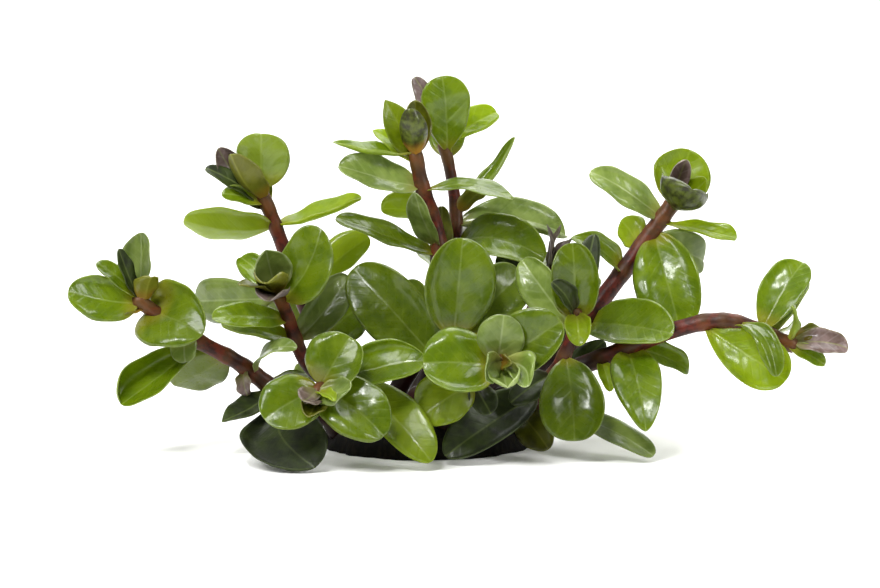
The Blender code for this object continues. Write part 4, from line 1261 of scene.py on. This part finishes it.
@dataclass(frozen=True)
class Studio:
    """The pale floor, the soft light and the camera.

    Args:
        lamps: the soft boxes.
        floor_size: how wide the floor is, in metres.
        floor_colour: the floor's colour.
        room_colour: the colour of the light from all round.
        room_light: how strong that light is from the front and from the back.
        room_turns: how far back that light starts and stops to grow, from -1 to 1.
        aim: the place that the camera looks at, in millimetres.
        camera_away: how far away the camera stands, in millimetres.
        camera_lift: how high it stands, in degrees above level.
        view_width: the width that the picture shows at that place, in millimetres.
    """

    lamps: tuple[Lamp, ...] = (
        Lamp("top_soft_box", 165, 64, 0.55, (0.4, 0.4), 3.2),
        Lamp("left_soft_box", -52, 42, 0.6, (0.25, 0.25), 3.0),
        Lamp("right_strip", 64, 28, 0.6, (0.1, 0.4), 1.8),
        Lamp("front_soft_box", -20, 52, 0.8, (0.14, 0.14), 3.8),
        Lamp("back_soft_box", 180, 22, 0.7, (0.6, 0.4), 2.2),
    )
    floor_size: float = 24.0
    floor_colour: str = "F4F4F2"
    room_colour: str = "FFFFFF"
    room_light: tuple[float, float] = (0.07, 1.0)
    room_turns: tuple[float, float] = (-0.2, 0.85)
    aim: tuple[float, float, float] = (0.0, 0.0, 30.7)
    camera_away: float = 1200.0
    camera_lift: float = 10.0
    view_width: float = 176.0

    def build_floor(self) -> bpy.types.Object:
        """Lay the floor.

        Returns:
            The floor, which isn't part of the plant.
        """
        bm = bmesh.new()
        bmesh.ops.create_grid(bm, x_segments=1, y_segments=1, size=self.floor_size / 2)
        data = bpy.data.meshes.new("floor")
        bm.to_mesh(data)
        bm.free()
        # Matte white paper
        recipe = Recipe("matte_white_paper")
        paper = recipe.add("BsdfPrincipled", 0, {"Base Color": linear(self.floor_colour), "Roughness": 0.9})
        data.materials.append(recipe.finish(paper))
        floor = bpy.data.objects.new("floor", data)
        bpy.context.scene.collection.objects.link(floor)
        return floor

    def build_light(self) -> None:
        """Set up the soft boxes and the light from all round."""
        room = Recipe("white_room", Use.WORLD)
        way = room.add("TexCoord", "Generated", {})
        depth = room.add("SeparateXYZ", "Y", {0: way})
        (start, end), (front, rear) = self.room_turns, self.room_light
        ramp = {0: depth, 1: start, 2: end, 3: front, 4: rear}
        strength = room.add("MapRange", 0, ramp, interpolation_type="SMOOTHSTEP")
        light = room.add("Background", 0, {"Color": linear(self.room_colour), "Strength": strength})
        bpy.context.scene.world = room.finish(light)
        middle = Vector(self.aim) * MM
        for lamp in self.lamps:
            data = bpy.data.lights.new(lamp.name, "AREA")
            data.shape = "RECTANGLE"
            data.size, data.size_y = lamp.size
            data.energy = lamp.power
            turn, lift = radians(lamp.turn), radians(lamp.lift)
            back = Vector((sin(turn) * cos(lift), -cos(turn) * cos(lift), sin(lift)))
            made = bpy.data.objects.new(lamp.name, data)
            made.location = middle + back * lamp.away
            made.rotation_euler = (-back).to_track_quat("-Z", "Y").to_euler()
            bpy.context.scene.collection.objects.link(made)

    def build_camera(self) -> None:
        """Set up the camera at the photo's angle."""
        data = bpy.data.cameras.new("camera")
        data.sensor_width = 36.0
        data.lens = data.sensor_width * self.camera_away / self.view_width
        data.clip_start, data.clip_end = 0.05, 100.0
        lift = radians(self.camera_lift)
        back = Vector((0, -cos(lift), sin(lift)))
        camera = bpy.data.objects.new("camera", data)
        camera.location = (Vector(self.aim) + back * self.camera_away) * MM
        camera.rotation_euler = (-back).to_track_quat("-Z", "Y").to_euler()
        bpy.context.scene.collection.objects.link(camera)
        bpy.context.scene.camera = camera

    def build(self) -> None:
        """Set up the whole studio."""
        self.build_camera()
        self.build_floor()
        self.build_light()
        bpy.context.scene.view_settings.view_transform = "Standard"


def main() -> None:
    """Build the studio, the crown and the shoots, and note the sizes."""
    logging.basicConfig(level=logging.INFO, format="%(message)s")
    Studio().build()
    Crown().build()
    for shoot in SHOOTS:
        shoot.build()


if __name__ == "__main__":
    main()
